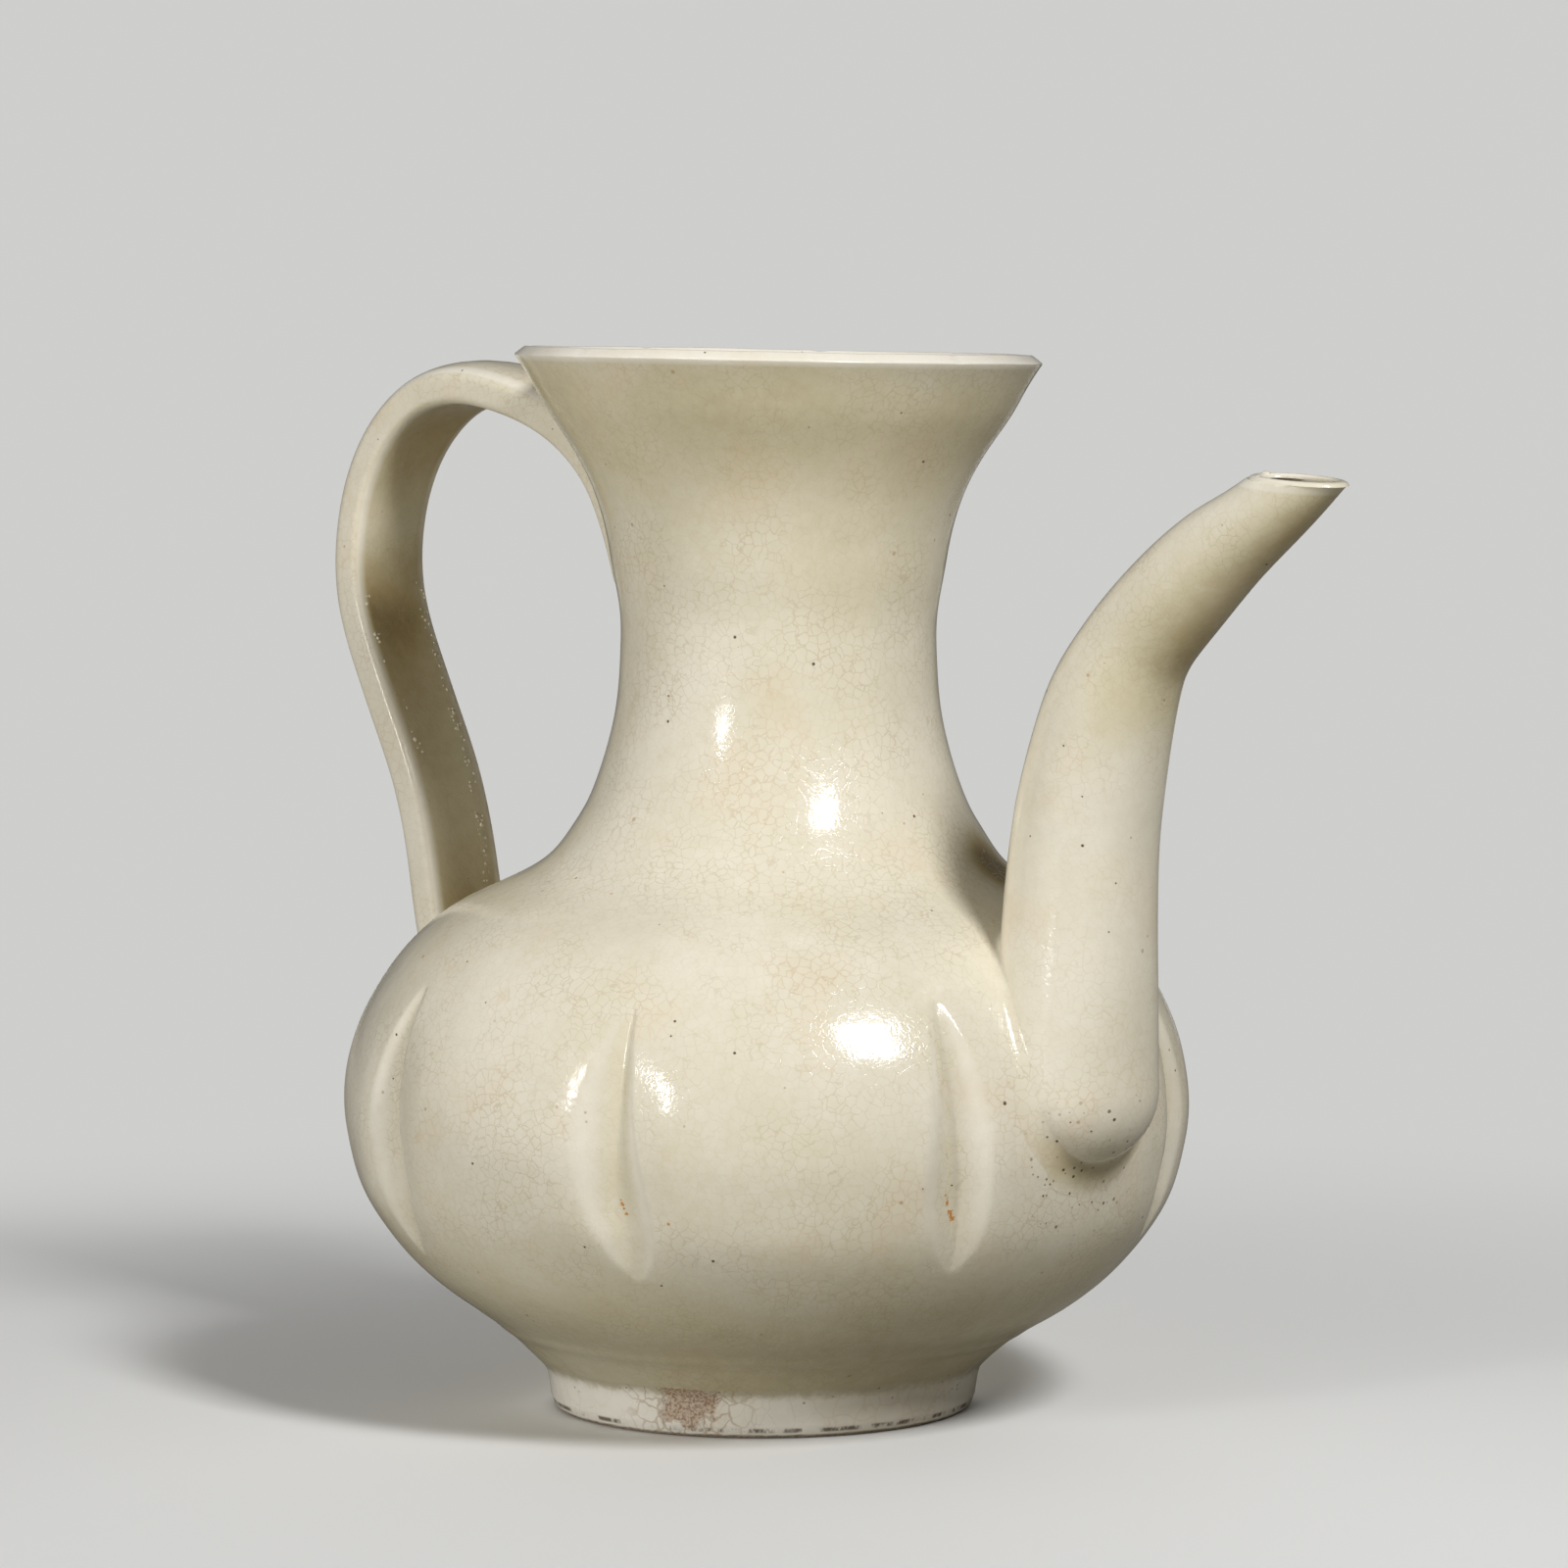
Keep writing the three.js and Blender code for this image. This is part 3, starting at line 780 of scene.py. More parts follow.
lip_drop = 0.5  # the wiped bevel is a little lower than the cut one
lip_outer_end, lip_inner_end = lip_height - 1.2, lip_height - 1.6
neck_outer = levels(neck_high, lip_outer_end)
neck_inner = levels(neck_high, lip_inner_end, inner_row_step)[::-1]
lip = softened(
    [*outside_at([lip_outer_end]), (lip_radius, lip_height),
     (lip_radius - lip_bevel, mouth_height - lip_drop), *inside_at([lip_inner_end])],
    [0, 0.3, 0.75, 0], steps=6)
neck = turned("trumpet_neck", outside_at(neck_outer) + lip + inside_at(neck_inner),
              thin=[0.0] * len(neck_outer) + [1.0] * len(lip) + [0.0] * len(neck_inner))
print(len(lip), "rows on the lip")

# %% Chip the lip a little, cut it slanting, then lean the neck
lip_chips = [  # angle in degrees, width and depth in millimetres
    (219, 2.0, 0.45), (212, 1.0, 0.3), (38.5, 1.8, 0.35), (46, 1.0, 0.2), (352, 1.3, 0.12),
    (262, 1.1, 0.1), (120, 1.8, 0.25), (84, 1.2, 0.15), (163, 1.4, 0.2)]
lip_lift = 0.5
lip_slants = [(-50, 0.45), (220, 0.1)]  # towards an angle in degrees, in millimetres
chip_inwards = 0.6
spots = points_of(neck)
on_lip = np.clip((spots[:, 2] - (lip_height - 1.0)) / 1.4, 0, 1)
turned_by = np.arctan2(spots[:, 1], spots[:, 0])
slant_share = smoothstep(spots[:, 2], 160, lip_height)
slant = lip_lift + sum(rise * np.cos(turned_by - math.radians(angle))
                       for angle, rise in lip_slants)
for angle, width, depth in lip_chips:
    aside = (turned_by - math.radians(angle) + math.pi) % (2 * math.pi) - math.pi
    dent = depth * on_lip * np.exp(-((aside * lip_radius / width) ** 2) * 2)
    spots[:, 2] -= dent
    spots[:, 0] -= chip_inwards * dent * np.cos(turned_by)
    spots[:, 1] -= chip_inwards * dent * np.sin(turned_by)
ripple = 0.05 * np.sin(5 * turned_by + 1) + 0.03 * np.sin(13 * turned_by)
spots[:, 2] += on_lip * ripple + slant_share * slant
neck.data.vertices.foreach_set("co", (spots * MM).astype(np.float32).ravel())
neck.data.update()
flute_and_lean(neck, ivory)

# %% Turn the foot ring and its bed of slip
side_start, bore_end = foot_edge + 1.1, foot_edge + 1.3
standing = softened(
    [(foot_bore_radius, bore_end), (foot_bore_radius, 0), (foot_radius + 0.1, 0),
     *outside_at([side_start])], [0, 1.1, 1.0, 0], steps=7)
foot_section = (
    outside_at(levels(side_start, foot_height, 0.6))
    + [(r, foot_height) for r in np.linspace(foot_top_radius - 2, foot_bore_radius, 5)]
    + [(foot_bore_radius, h) for h in np.linspace(foot_height, bore_end, 9)[1:]] + standing)
foot_ring = flute_and_lean(turned("foot_ring_glazed", foot_section), foot_finish)

bed_section = (
    outside_at(levels(foot_height, body_start_height, 0.25))
    + [(r, body_start_height) for r in np.linspace(38, foot_bore_radius, 4)]
    + [(foot_bore_radius, foot_height)])
foot_bed = flute_and_lean(turned("foot_slip", bed_section), joint_finish)

# %% [markdown]
# ## A section swept along a path
# The spout was rolled round a tapered stick, and the handle was pulled as a strap of wet clay.
# Both are one section that travels along a bent line and changes as it goes. Curve to Mesh does
# that, but it can only scale its profile evenly. So each point of the line carries two arrows,
# across and sideways, that say how large the section is there and how it stands, and the tree
# lays the profile out along those arrows. A roundness below 1 turns the round profile into a
# strap, with a crown on its back and a dish on its inner side.

# %% Build the tree that sweeps a section
sweep_values = {
    "Sides": 96, "Roundness": 1.0, "Crown": 0.0, "Dish": 0.0, "Darker Side": 1.0,
    "Darker From": -0.7, "Darker To": 1.0, "Edge Wear": 0.0, "Material": ivory}
sweep_tree, size = geometry_tree("section_along_a_path", sweep_values)


def signed_power(value, power):
    return calc("SIGN", value) * calc("POWER", calc("ABSOLUTE", value), power)


profile = value_of(sweep_tree, "GeometryNodeCurvePrimitiveCircle", {
    "Resolution": size["Sides"], "Radius": 1.0})
profile = stored(profile, "FLOAT_VECTOR",
                 profile=value_of(sweep_tree, "GeometryNodeInputPosition"))
swept = value_of(sweep_tree, "GeometryNodeCurveToMesh", {
    "Curve": value_of(sweep_tree, "GeometryNodeMeshToCurve", [size["Geometry"]]),
    "Profile Curve": profile, "Fill Caps": True})
profile_at = parts_of(named_value(sweep_tree, "profile", "FLOAT_VECTOR"))
aside = signed_power(profile_at["Y"], size["Roundness"])
deep = signed_power(profile_at["X"], size["Roundness"])
bulge = 1.0 - aside * aside
on_back = calc("GREATER_THAN", profile_at["X"], 0.0)
deep = deep + (on_back * (bulge * size["Crown"]) + (1.0 - on_back) * (bulge * size["Dish"]))
middle, across, sideways = [named_value(sweep_tree, name, "FLOAT_VECTOR")
                            for name in ("middle", "across", "sideways")]
laid = vector_calc("ADD", middle, vector_calc(
    "ADD", scaled(across, deep), scaled(sideways, aside)))
laid_out = value_of(sweep_tree, "GeometryNodeSetPosition", {"Geometry": swept, "Position": laid})

# Each row says how much darker it is on one side of the section: from pooled glaze and smoke, and
# from painted shade
pooled = named_value(sweep_tree, "pool") * step(
    profile_at["X"] * size["Darker Side"], size["Darker From"], size["Darker To"])
# Where the strap is darker over one half of its inner side only, the other half stays lighter
lighter_half = calc("MULTIPLY", named_value(sweep_tree, "one_sided"), profile_at["Y"], clamp=True)
corner = 2.0 * calc("ABSOLUTE", profile_at["X"] * profile_at["Y"])
worn = calc("MAXIMUM", size["Edge Wear"] * step(corner, 0.8, 1.0), named_value(sweep_tree, "bare"))
finish_tree(stored(laid_out, hollow=pooled * (1.0 - lighter_half), thin=worn), size["Material"])


def sweep(name, lines, pool, bare, one_sided, sizes):
    """Sweeps a section along lines of middles, arrows across and arrows sideways."""
    middles, across, sideways = [np.asarray(line) for line in lines]
    made = new_object(name, middles, [(i, i + 1) for i in range(len(middles) - 1)])
    mark(made, "FLOAT_VECTOR", middle=middles * MM, across=across * MM, sideways=sideways * MM)
    mark(made, pool=pool, bare=bare, one_sided=one_sided)
    return tell(run_nodes(made, sweep_tree, sizes))


# %% [markdown]
# ## The spout
# The spout rises from a rounded chin low on the belly, thins all the way up, bends out over the
# table and is cut level at the mouth. It is one sweep: up the outside, over the thin rounded
# lip, and down the bore, so that the wall is real. Its foot is then trimmed a little way inside
# the belly's wall, where the clay of both pieces was pressed together.

# %% The spout's line, from its root to its mouth
spout_root = np.array([belly_radius - 4.7, belly_height + 6])
spout_mouth_width, spout_reach, spout_mouth_drop = 17.6, 125, 21.6
spout_mouth = np.array([spout_reach - spout_mouth_width / 2, mouth_height - spout_mouth_drop])
spout_root_radius, spout_mouth_radius = 13.5, 6.4
spout_wall, spout_lip_wall = 3.2, 1.7
spout_mouth_direction = np.array([spout_mouth_width, -1.4]) / math.hypot(spout_mouth_width, 1.4)
spout_line_shares = [  # run outwards, rise, and change in radius
    (0, 0, 0), (-.004, .142, .015), (-.009, .274, .03), (.005, .397, .08), (.042, .491, .14),
    (.126, .624, .28), (.215, .695, .4), (.32, .756, .52), (.47, .822, .66), (.646, .888, .82),
    (.81, .94, .96), (1, 1, 1)]
spout_hand = [  # height, more radius, moved outwards, reach
    (156.0, 0.5, 0.2, 9.0), (140.0, -0.5, -0.5, 6.5), (163.0, 0.35, 0.1, 5.0),
    (170.0, -0.4, 0.0, 4.0)]
belly_middle_x = float(axis_x(belly_height))


def resampled(curve, step, spread=3.0):
    """A curve with an even step along its first two columns, eased over a spread."""
    length = walked(np.hypot(*np.diff(curve[:, :2], axis=0).T))
    even = np.linspace(0, length[-1], math.ceil(length[-1] / step) + 1)
    return np.stack([eased(np.interp(even, length, column), spread, even[1])
                     for column in curve.T], -1)


run, rise, taper = np.array(spout_line_shares).T
spout_line = resampled(spline_through(np.stack([
    belly_middle_x + spout_root[0] + (spout_mouth[0] - spout_root[0]) * run,
    spout_root[1] + (spout_mouth[1] - spout_root[1]) * rise,
    spout_root_radius + (spout_mouth_radius - spout_root_radius) * taper,
    np.arange(len(run)) / (len(run) - 1)], -1)), 0.75)
for height, swell, drift, reach in spout_hand:
    share = np.exp(-((spout_line[:, 1] - height) / reach) ** 2)
    spout_line[:, 2] += swell * share
    spout_line[:, 0] += drift * share
print("spout line has", len(spout_line), "rows")


# %% Rows of the spout at a margin from its outside
root_shift = np.array([0.5, -2.2, 0])  # the spout was set on a little off its line
root_spread, root_fade = 0.13, 46.0
mouth_slant = -0.05


def in_middle_plane(x, z):
    """Points of the upright plane through spout and handle."""
    return np.stack([x, 0 * x, z], -1)


def spout_rows(line, root_margin, mouth_margin, chin_steps):
    """Middles and arrows for the spout's rows, starting with the rounded chin."""
    x, z, radius, share = line.T
    along = unit(np.gradient(line[:, :2], axis=0))
    square = np.stack([along[:, 1], -along[:, 0]], -1)
    level = smoothstep(share, 0.75, 1)
    lean_over = unit(square * (1 - level)[:, None] + spout_mouth_direction * level[:, None])
    stretch = 1 / (lean_over * square).sum(1)
    root_radius = radius[0] + root_margin
    radius = radius + root_margin + (mouth_margin - root_margin) * share
    chin_turn = (np.arange(chin_steps) + 0.3) / chin_steps * math.pi / 2
    chin = root_radius * np.sin(chin_turn)
    middles = in_middle_plane(np.append(x[0] + 0 * chin, x),
                              np.append(z[0] - root_radius * np.cos(chin_turn), z))
    across_x, across_z = lean_over.T * radius * stretch
    across = in_middle_plane(np.append(chin, across_x), np.append(0 * chin, across_z))
    sideways = np.append(chin, radius)[:, None] * [0, 1, 0]
    near_root = 1 - smoothstep(middles[:, 2], z[0], z[0] + root_fade)[:, None]
    middles += root_shift * near_root
    sideways *= 1 + root_spread * near_root
    sideways[:, 2] = -mouth_slant * sideways[:, 1] * np.append(0 * chin, level)
    return middles, across, sideways


outside = spout_rows(spout_line, 0, 0, 18)
bore = spout_rows(spout_line[::3], -spout_wall, -spout_lip_wall, 6)
mouth_normal = np.array([-spout_mouth_direction[1], 0, spout_mouth_direction[0]])
lip_round, lip_sink = 0.75, 0.45
lip_rows = []
for turn in np.linspace(0, math.pi, 9):
    share = (1 - math.cos(turn)) / 2
    arrows = [o[-1] * (1 - share) + b[-1] * share for o, b in zip(outside[1:], bore[1:])]
    middle = outside[0][-1] + mouth_normal * (lip_round * math.sin(turn) - lip_sink)
    lip_rows.append([middle, *arrows])
lip_rows = [np.array(rows) for rows in zip(*lip_rows)]
lip_start = len(outside[0]) - 1
lip_end = lip_start + len(lip_rows[0])
spout_lines = [np.vstack([o[:-1], l, b[::-1][1:]]) for o, l, b in zip(outside, lip_rows, bore)]
spout_heights = spout_lines[0][:, 2]
# The spout's underside round the bend is darker, partly a glaze stain and partly painted shade,
# and its bore is darker still: pooled glaze and painted shade
spout_pool_and_shade = np.interp(
    spout_heights, [50, 118, 134, 148, 160, 172], [0, 0.05, 0.34, 0.42, 0.4, 0.25])
spout_pool_and_shade[lip_end:] = 0.9
spout_bare = np.interp(spout_heights, [60, 110, 140], [0.1, 0.22, 0.0])
spout_bare[lip_start - 3:lip_end - 2] = 0.5
spout = sweep("poured_spout", spout_lines, spout_pool_and_shade, spout_bare, 0 * spout_pool_and_shade, sweep_values)
spout_grid = points_of(spout).reshape(len(spout_heights), -1, 3)

# %% [markdown]
# ## The handle
# The strap starts as a tail wiped down the neck, springs out under the lip, turns over in a tall
# arch, swings back in and lands on the shoulder. Its back is crowned and its inner side slightly
# dished from the potter's thumb. It is the same kind of sweep as the spout, with a squarer
# section.

# %% The handle's line, and its sweep
handle_thickness, handle_width, handle_crown = 7.0, 19.6, 1.6
handle_reach, handle_lip_drop, handle_widest_rise = 99.8, 3.6, 93.0
handle_upper_shares = [
    (-.013, -.207), (.015, .03), (.055, .28), (.123, .547), (.243, .769), (.4, .917), (.6, 1),
    (.76, .935), (.888, .71), (.966, .4), (.995, .03)]
handle_lower_shares = [
    (.9, .892), (.595, .738), (.275, .586), (.1, .457), (-.005, .328), (-.132, .199), (-.35, .065)]
handle_top = mouth_height - handle_lip_drop - handle_thickness / 2
neck_middle_x = float(axis_x(neck_waist_height))
handle_widest = (belly_middle_x - handle_reach + handle_thickness / 2,
                 belly_height + handle_widest_rise)
handle_line = resampled(spline_through(
    between((neck_middle_x - neck_waist_radius, handle_widest[1]), (handle_widest[0], handle_top),
            handle_upper_shares)
    + between((belly_middle_x - belly_radius, belly_height), handle_widest, handle_lower_shares)),
    0.8)
along = unit(np.gradient(handle_line, axis=0))
rows = len(handle_line)
down = np.linspace(0, 1, rows)
hand = 1 + 0.012 * np.sin(9 * down + 1) + 0.008 * np.sin(23 * down)
across = in_middle_plane(along[:, 1], -along[:, 0]) * handle_thickness / 2 * hand[:, None]
sideways = (handle_width / 2 * hand[::-1])[:, None] * [0, 1, 0]
middles = in_middle_plane(*handle_line.T)
middles[:, 1] = 0.25 * np.sin(7 * down)

# The tail was wiped out thin and narrow where it ends on the neck
tail_low, tail_high, tail_sink, tail_narrowing = 142, 149, 4.6, 0.35
tongue_rows, tongue_sink, tongue_least = 9, 2.4, 0.15
tail = (1 - smoothstep(handle_line[:, 1], tail_low, tail_high)) * (down < 0.3)
tongue = np.sqrt(1 - (1 - np.clip(np.arange(rows) / tongue_rows, 0, 1)) ** 2)
middles[:, 0] += tail_sink * tail + tongue_sink * (1 - tongue)
sideways *= ((1 - tail_narrowing * tail)
             * (tongue_least + (1 - tongue_least) * tongue))[:, None]

# Smoke browned the inner side, and painted shade darkens it further where it faces the pot, in
# some places over one half of its width only
smoke_and_shade_heights = [84, 92, 100, 118, 130, 139, 148, 157, 168, 180, 184]
smoke_and_shade = [0.6, 0.42, 0.34, 0.42, 0.6, 0.85, 0.5, 0.2, 0.36, 0.4, 0.3]
handle_smoke_and_shade = np.interp(middles[:, 2], smoke_and_shade_heights, smoke_and_shade)
handle_smoke_and_shade[middles[:, 0] > handle_widest[0] + 22] *= 0.5
one_sided = np.interp(
    middles[:, 2], [84, 100, 110, 144, 154, 170], [0.3, 0.6, 0.9, 0.95, -0.9, -0.7])
one_sided *= down > 0.3
handle = sweep("strap_handle", (middles, across, sideways), handle_smoke_and_shade, 0 * down, one_sided, {
    **sweep_values, "Roundness": 0.42, "Crown": handle_crown * 2 / handle_thickness,
    "Dish": 0.16, "Darker Side": -1.0, "Darker From": 0.55, "Darker To": 0.9, "Edge Wear": 0.7})

# %% [markdown]
# ## Trimming where clay meets clay
# Spout and strap run on into the wall. What would poke into the pot is cut away with a Boolean
# modifier, whose cutter is the pot's own outline a little inside its wall. The cut faces lie
# inside the clay, where nobody sees them.

# %% Helpers that cut one skin with another
def face_outwards(made):
    """Turns all faces over if the skin is inside out."""
    made.data.calc_loop_triangles()
    corners = np.empty(len(made.data.loop_triangles) * 3, np.int32)
    made.data.loop_triangles.foreach_get("vertices", corners)
    a, b, c = points_of(made)[corners.reshape(-1, 3)].transpose(1, 0, 2)
    if np.einsum("ij,ij->i", a, np.cross(b, c)).sum() < 0:
        made.data.flip_normals()


def wall_inset(name, inset):
    """The whole pot as one solid, drawn in by an inset."""
    heights = np.linspace(foot_height + 4, lip_height, 120)
    slope = wall_slope(heights)
    square = np.sqrt(1 + slope ** 2)
    radii, levels_at = wall_radius(heights) - inset / square, heights + inset * slope / square
    ring = np.linspace(0, 2 * math.pi, 160, endpoint=False)[None, :]
    points = lean(radii[:, None], levels_at[:, None] + 0 * ring, ring)
    return skin_object(name, points, capped_faces(len(radii), ring.shape[1]))


def cut_away(made, cutter):
    """Takes the cutter's space out of a piece, and drops the cutter."""
    modifier = made.modifiers.new("cut", "BOOLEAN")
    modifier.object, modifier.operation, modifier.solver = cutter, "DIFFERENCE", "EXACT"
    keep_result(made)
    old = cutter.data
    bpy.data.objects.remove(cutter)
    bpy.data.meshes.remove(old)
    tell(shade(made))


print("cutting helpers ready")

# %% [markdown]
# ## Soft clay in the joints
# A potter seats a spout on a coil of soft clay and smooths it into both surfaces with a finger,
# so no joint has a sharp corner, and the glaze pools there. The line where the two skins meet
# is found triangle by triangle. From each of its points one short curve is laid from the wall to
# the piece, touching both, and all the curves together make a soft fillet of clay.

# %% Find where a piece meets the wall
def meeting_loops(made):
    """The closed lines where a piece's skin crosses the wall."""
    made.data.calc_loop_triangles()
    spots = points_of(made)
    off = outside_wall(spots)
    crossings, neighbours = {}, {}
    for triangle in made.data.loop_triangles:
        cut = []
        for i, j in ((0, 1), (1, 2), (2, 0)):
            a, b = triangle.vertices[i], triangle.vertices[j]
            if (off[a] < 0) != (off[b] < 0):
                key = (min(a, b), max(a, b))
                share = off[key[0]] / (off[key[0]] - off[key[1]])
                crossings[key] = spots[key[0]] * (1 - share) + spots[key[1]] * share
                cut.append(key)
        if len(cut) == 2:
            neighbours.setdefault(cut[0], []).append(cut[1])
            neighbours.setdefault(cut[1], []).append(cut[0])
    loops, seen = [], set()
    for start in neighbours:
        loop, at = [], start
        while at is not None and at not in seen:
            seen.add(at)
            loop.append(crossings[at])
            at = next((key for key in neighbours[at] if key not in seen), None)
        if len(loop) > 20:
            loops.append(np.array(loop))
    return sorted(loops, key=len, reverse=True)


def even_loop(loop, step=0.7, spread=1.2):
    """The same closed line with an even step, and with its jitter eased."""
    ring = np.vstack([loop, loop[:1]])
    length = walked(np.linalg.norm(np.diff(ring, axis=0), axis=1))
    count = int(length[-1] / step)
    even = np.linspace(0, length[-1], count, endpoint=False)
    points = np.stack([np.interp(even, length, column) for column in ring.T], -1)
    weights, reach = bell(spread, step, 3)
    around = np.arange(count)[:, None] + np.arange(-reach, reach + 1)[None, :]
    return np.einsum("ijk,j->ik", points[around % count], weights)


print("meeting lines can be found")

# %% Lay the fillet from the wall to the piece
def square_to(ways, fixed):
    """The part of some directions that stands square to fixed ones, at length one."""
    return unit(ways - (ways * fixed).sum(1, keepdims=True) * fixed)


def onto_skin(skin, points):
    """The nearest points of a skin, and the way it faces there."""
    near = [skin.find_nearest(Vector(p * MM)) for p in points]
    return np.array([n[0] for n in near]) / MM, np.array([n[1] for n in near])


def bent(start, corner, end, share):
    """A point on the short curve that rounds a corner off."""
    return (1 - share) ** 2 * start + 2 * share * (1 - share) * corner + share ** 2 * end


def fillet(name, loop, skin, on_wall, on_piece, pooling_and_shade, rows=12, walk=4, sink=0.03):
    """A band of soft clay along a meeting line. The reaches give how far it spreads at each
    point, along the wall and along the piece, and the last number how much darker its middle is:
    glaze that pooled there, and under the spout's chin painted shadow as well."""
    on_wall, on_piece, pooling_and_shade = [np.zeros(len(loop)) + v for v in (on_wall, on_piece, pooling_and_shade)]
    wall_way, piece_way = away_from_wall(loop), onto_skin(skin, loop)[1]
    foot, head, foot_way, head_way = loop, loop, wall_way, piece_way
    for _ in range(walk):
        foot = onto_wall(foot + square_to(piece_way, foot_way) * on_wall[:, None] / walk)
        foot_way = away_from_wall(foot)
        head, head_way = onto_skin(
            skin, head + square_to(wall_way, head_way) * on_piece[:, None] / walk)
    foot, head = foot - foot_way * sink, head - head_way * sink
    bands = [bent(foot, loop, head, share) for share in np.linspace(0, 1, rows)]
    bands.append(loop - (wall_way + piece_way) * 0.7)
    made = skin_object(name, np.array(bands), row_faces(len(bands), len(loop), closed=True))
    pooled = np.append(np.sin(np.linspace(0, math.pi, rows)), 0.0)
    mark(made, hollow=np.outer(pooled, pooling_and_shade))
    made.data.materials.append(joint_finish)
    face_outwards(made)
    return tell(shade(made))


skins, loops = {}, {}
for piece in (spout, handle):
    face_outwards(piece)
    skins[piece.name] = BVHTree.FromPolygons(
        [v.co.copy() for v in piece.data.vertices],
        [tuple(face.vertices) for face in piece.data.polygons])
    loops[piece.name] = [even_loop(loop) for loop in meeting_loops(piece)]
    print(piece.name, "meets the wall along", [len(loop) for loop in loops[piece.name]], "points")

spout_loop = loops[spout.name][0]
upper_loop, lower_loop = sorted(loops[handle.name][:2], key=lambda loop: -loop[:, 2].mean())
low_down = smoothstep(-spout_loop[:, 2], -78, -56)
# Under the chin the band is painted darker as the chin's shadow, besides the glaze that pooled
# there
under_chin = smoothstep(-spout_loop[:, 2], -60, -51)
spout_bed = fillet(
    "spout_clay", spout_loop, skins[spout.name], on_wall=2.8 + 2.8 * low_down,
    on_piece=2.0 + 0.6 * low_down, pooling_and_shade=0.06 + 0.34 * under_chin)
upper_bed = fillet("handle_tail_clay", upper_loop, skins[handle.name],
                   on_wall=1.8, on_piece=1.6, pooling_and_shade=0.1)
lower_bed = fillet("handle_foot_clay", lower_loop, skins[handle.name],
                   on_wall=2.6, on_piece=2.4, pooling_and_shade=0.12)

# %% Trim the spout and the strap, and pierce the pour hole
for piece in (spout, handle):
    cut_away(piece, wall_inset("wall_inset", 1.5))

pour_hole_radius, pour_hole_height, pour_hole_sides = 6.5, belly_height + 17, 48
ring = np.linspace(0, 2 * math.pi, pour_hole_sides, endpoint=False)
hole_rows = [np.stack([np.full(pour_hole_sides, x), pour_hole_radius * np.cos(ring),
                       pour_hole_height + pour_hole_radius * np.sin(ring)], -1)
             for x in (belly_middle_x + belly_radius / 2, belly_middle_x + belly_radius * 1.2)]
borer = skin_object("borer", np.vstack(hole_rows), capped_faces(2, pour_hole_sides))
face_outwards(borer)
cut_away(upper_body, borer)

# %% [markdown]
# ## The camera
# The photograph was taken from a little above the belly with a long lens, so upright lines stay
# nearly parallel. Distance, height and tilt were fitted to the foot's standing line, the rim and
# the spread of the flutes.

# %% Set up the camera
view_angle, view_tilt = math.radians(40), math.radians(4.14)
camera_height, camera_distance, camera_aside = 192, 1100, 2.82
focal_pixels, photo_pixels, sensor_width = 6259, 1600, 36
to_viewer = np.array([math.sin(view_angle), -math.cos(view_angle), 0])
to_right = np.array([math.cos(view_angle), math.sin(view_angle), 0])
camera_spot = (np.array([-11.5, 0, camera_height]) + camera_distance * to_viewer
               + camera_aside * to_right)
camera_data = bpy.data.cameras.new("camera")
camera_data.sensor_width = sensor_width
camera_data.lens = sensor_width * focal_pixels / photo_pixels
camera = put_in_scene("camera", camera_data)
camera.location = camera_spot * MM
camera.rotation_euler = (math.radians(90) - view_tilt, 0, view_angle)
bpy.context.scene.camera = camera
print("lens", round(camera_data.lens, 1), "mm")

# %% [markdown]
# ## Floor and light
# The pot stands on a plain pale sheet that runs on without an edge. Two soft boxes light it, as
# their reflections on the glaze show: a square one high on the right, and a narrow upright one on
# the left. The room round them throws light back too. Two large faint lamps stand for it, one in
# front and one behind, and don't show in the glaze, and the world gives an even fill. The sheet
# looks pale to the camera and throws little light back, as a grey one would, so the underside of
# the belly keeps its depth. Far from the pot it turns into the same plain tone as the world
# behind it, so no horizon shows.

# %% Lay the sheet
backdrop_tone = (0.62, 0.62, 0.61, 1)
sheet_pale, sheet_dull = (0.86, 0.86, 0.85), (0.272, 0.262, 0.23)
sheet_far_from, sheet_far_to = 0.09, 0.42
sheet_reach = 6000


def seen_by_camera(tree):
    return value_of(tree, "ShaderNodeLightPath", (), "Is Camera Ray")


def sheet_material():
    made = bpy.data.materials.new("pale_sheet")
    made.use_nodes = True
    tree = made.node_tree
    shader, end = tree.nodes["Principled BSDF"], tree.nodes["Material Output"]
    seen = seen_by_camera(tree)
    tree.links.new(blended(seen, sheet_dull, sheet_pale).socket, shader.inputs["Base Color"])
    shader.inputs["Roughness"].default_value = 0.85
    spot = value_of(tree, "ShaderNodeTexCoord", (), "Object")
    far = step(vector_calc("LENGTH", spot, output="Value"), sheet_far_from, sheet_far_to)
    plain = value_of(tree, "ShaderNodeEmission", {"Color": backdrop_tone})
    mixed = value_of(tree, "ShaderNodeMixShader", [
        far * seen, Value(tree, shader.outputs[0]), plain])
    tree.links.new(mixed.socket, end.inputs["Surface"])
    return made


floor = new_object("floor", [(x * sheet_reach, y * sheet_reach, 0) for x, y in (
    (-1, -1), (1, -1), (1, 1), (-1, 1))], [], [(0, 1, 2, 3)])
floor.data.materials.append(sheet_material())
floor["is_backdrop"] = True
print("sheet laid")


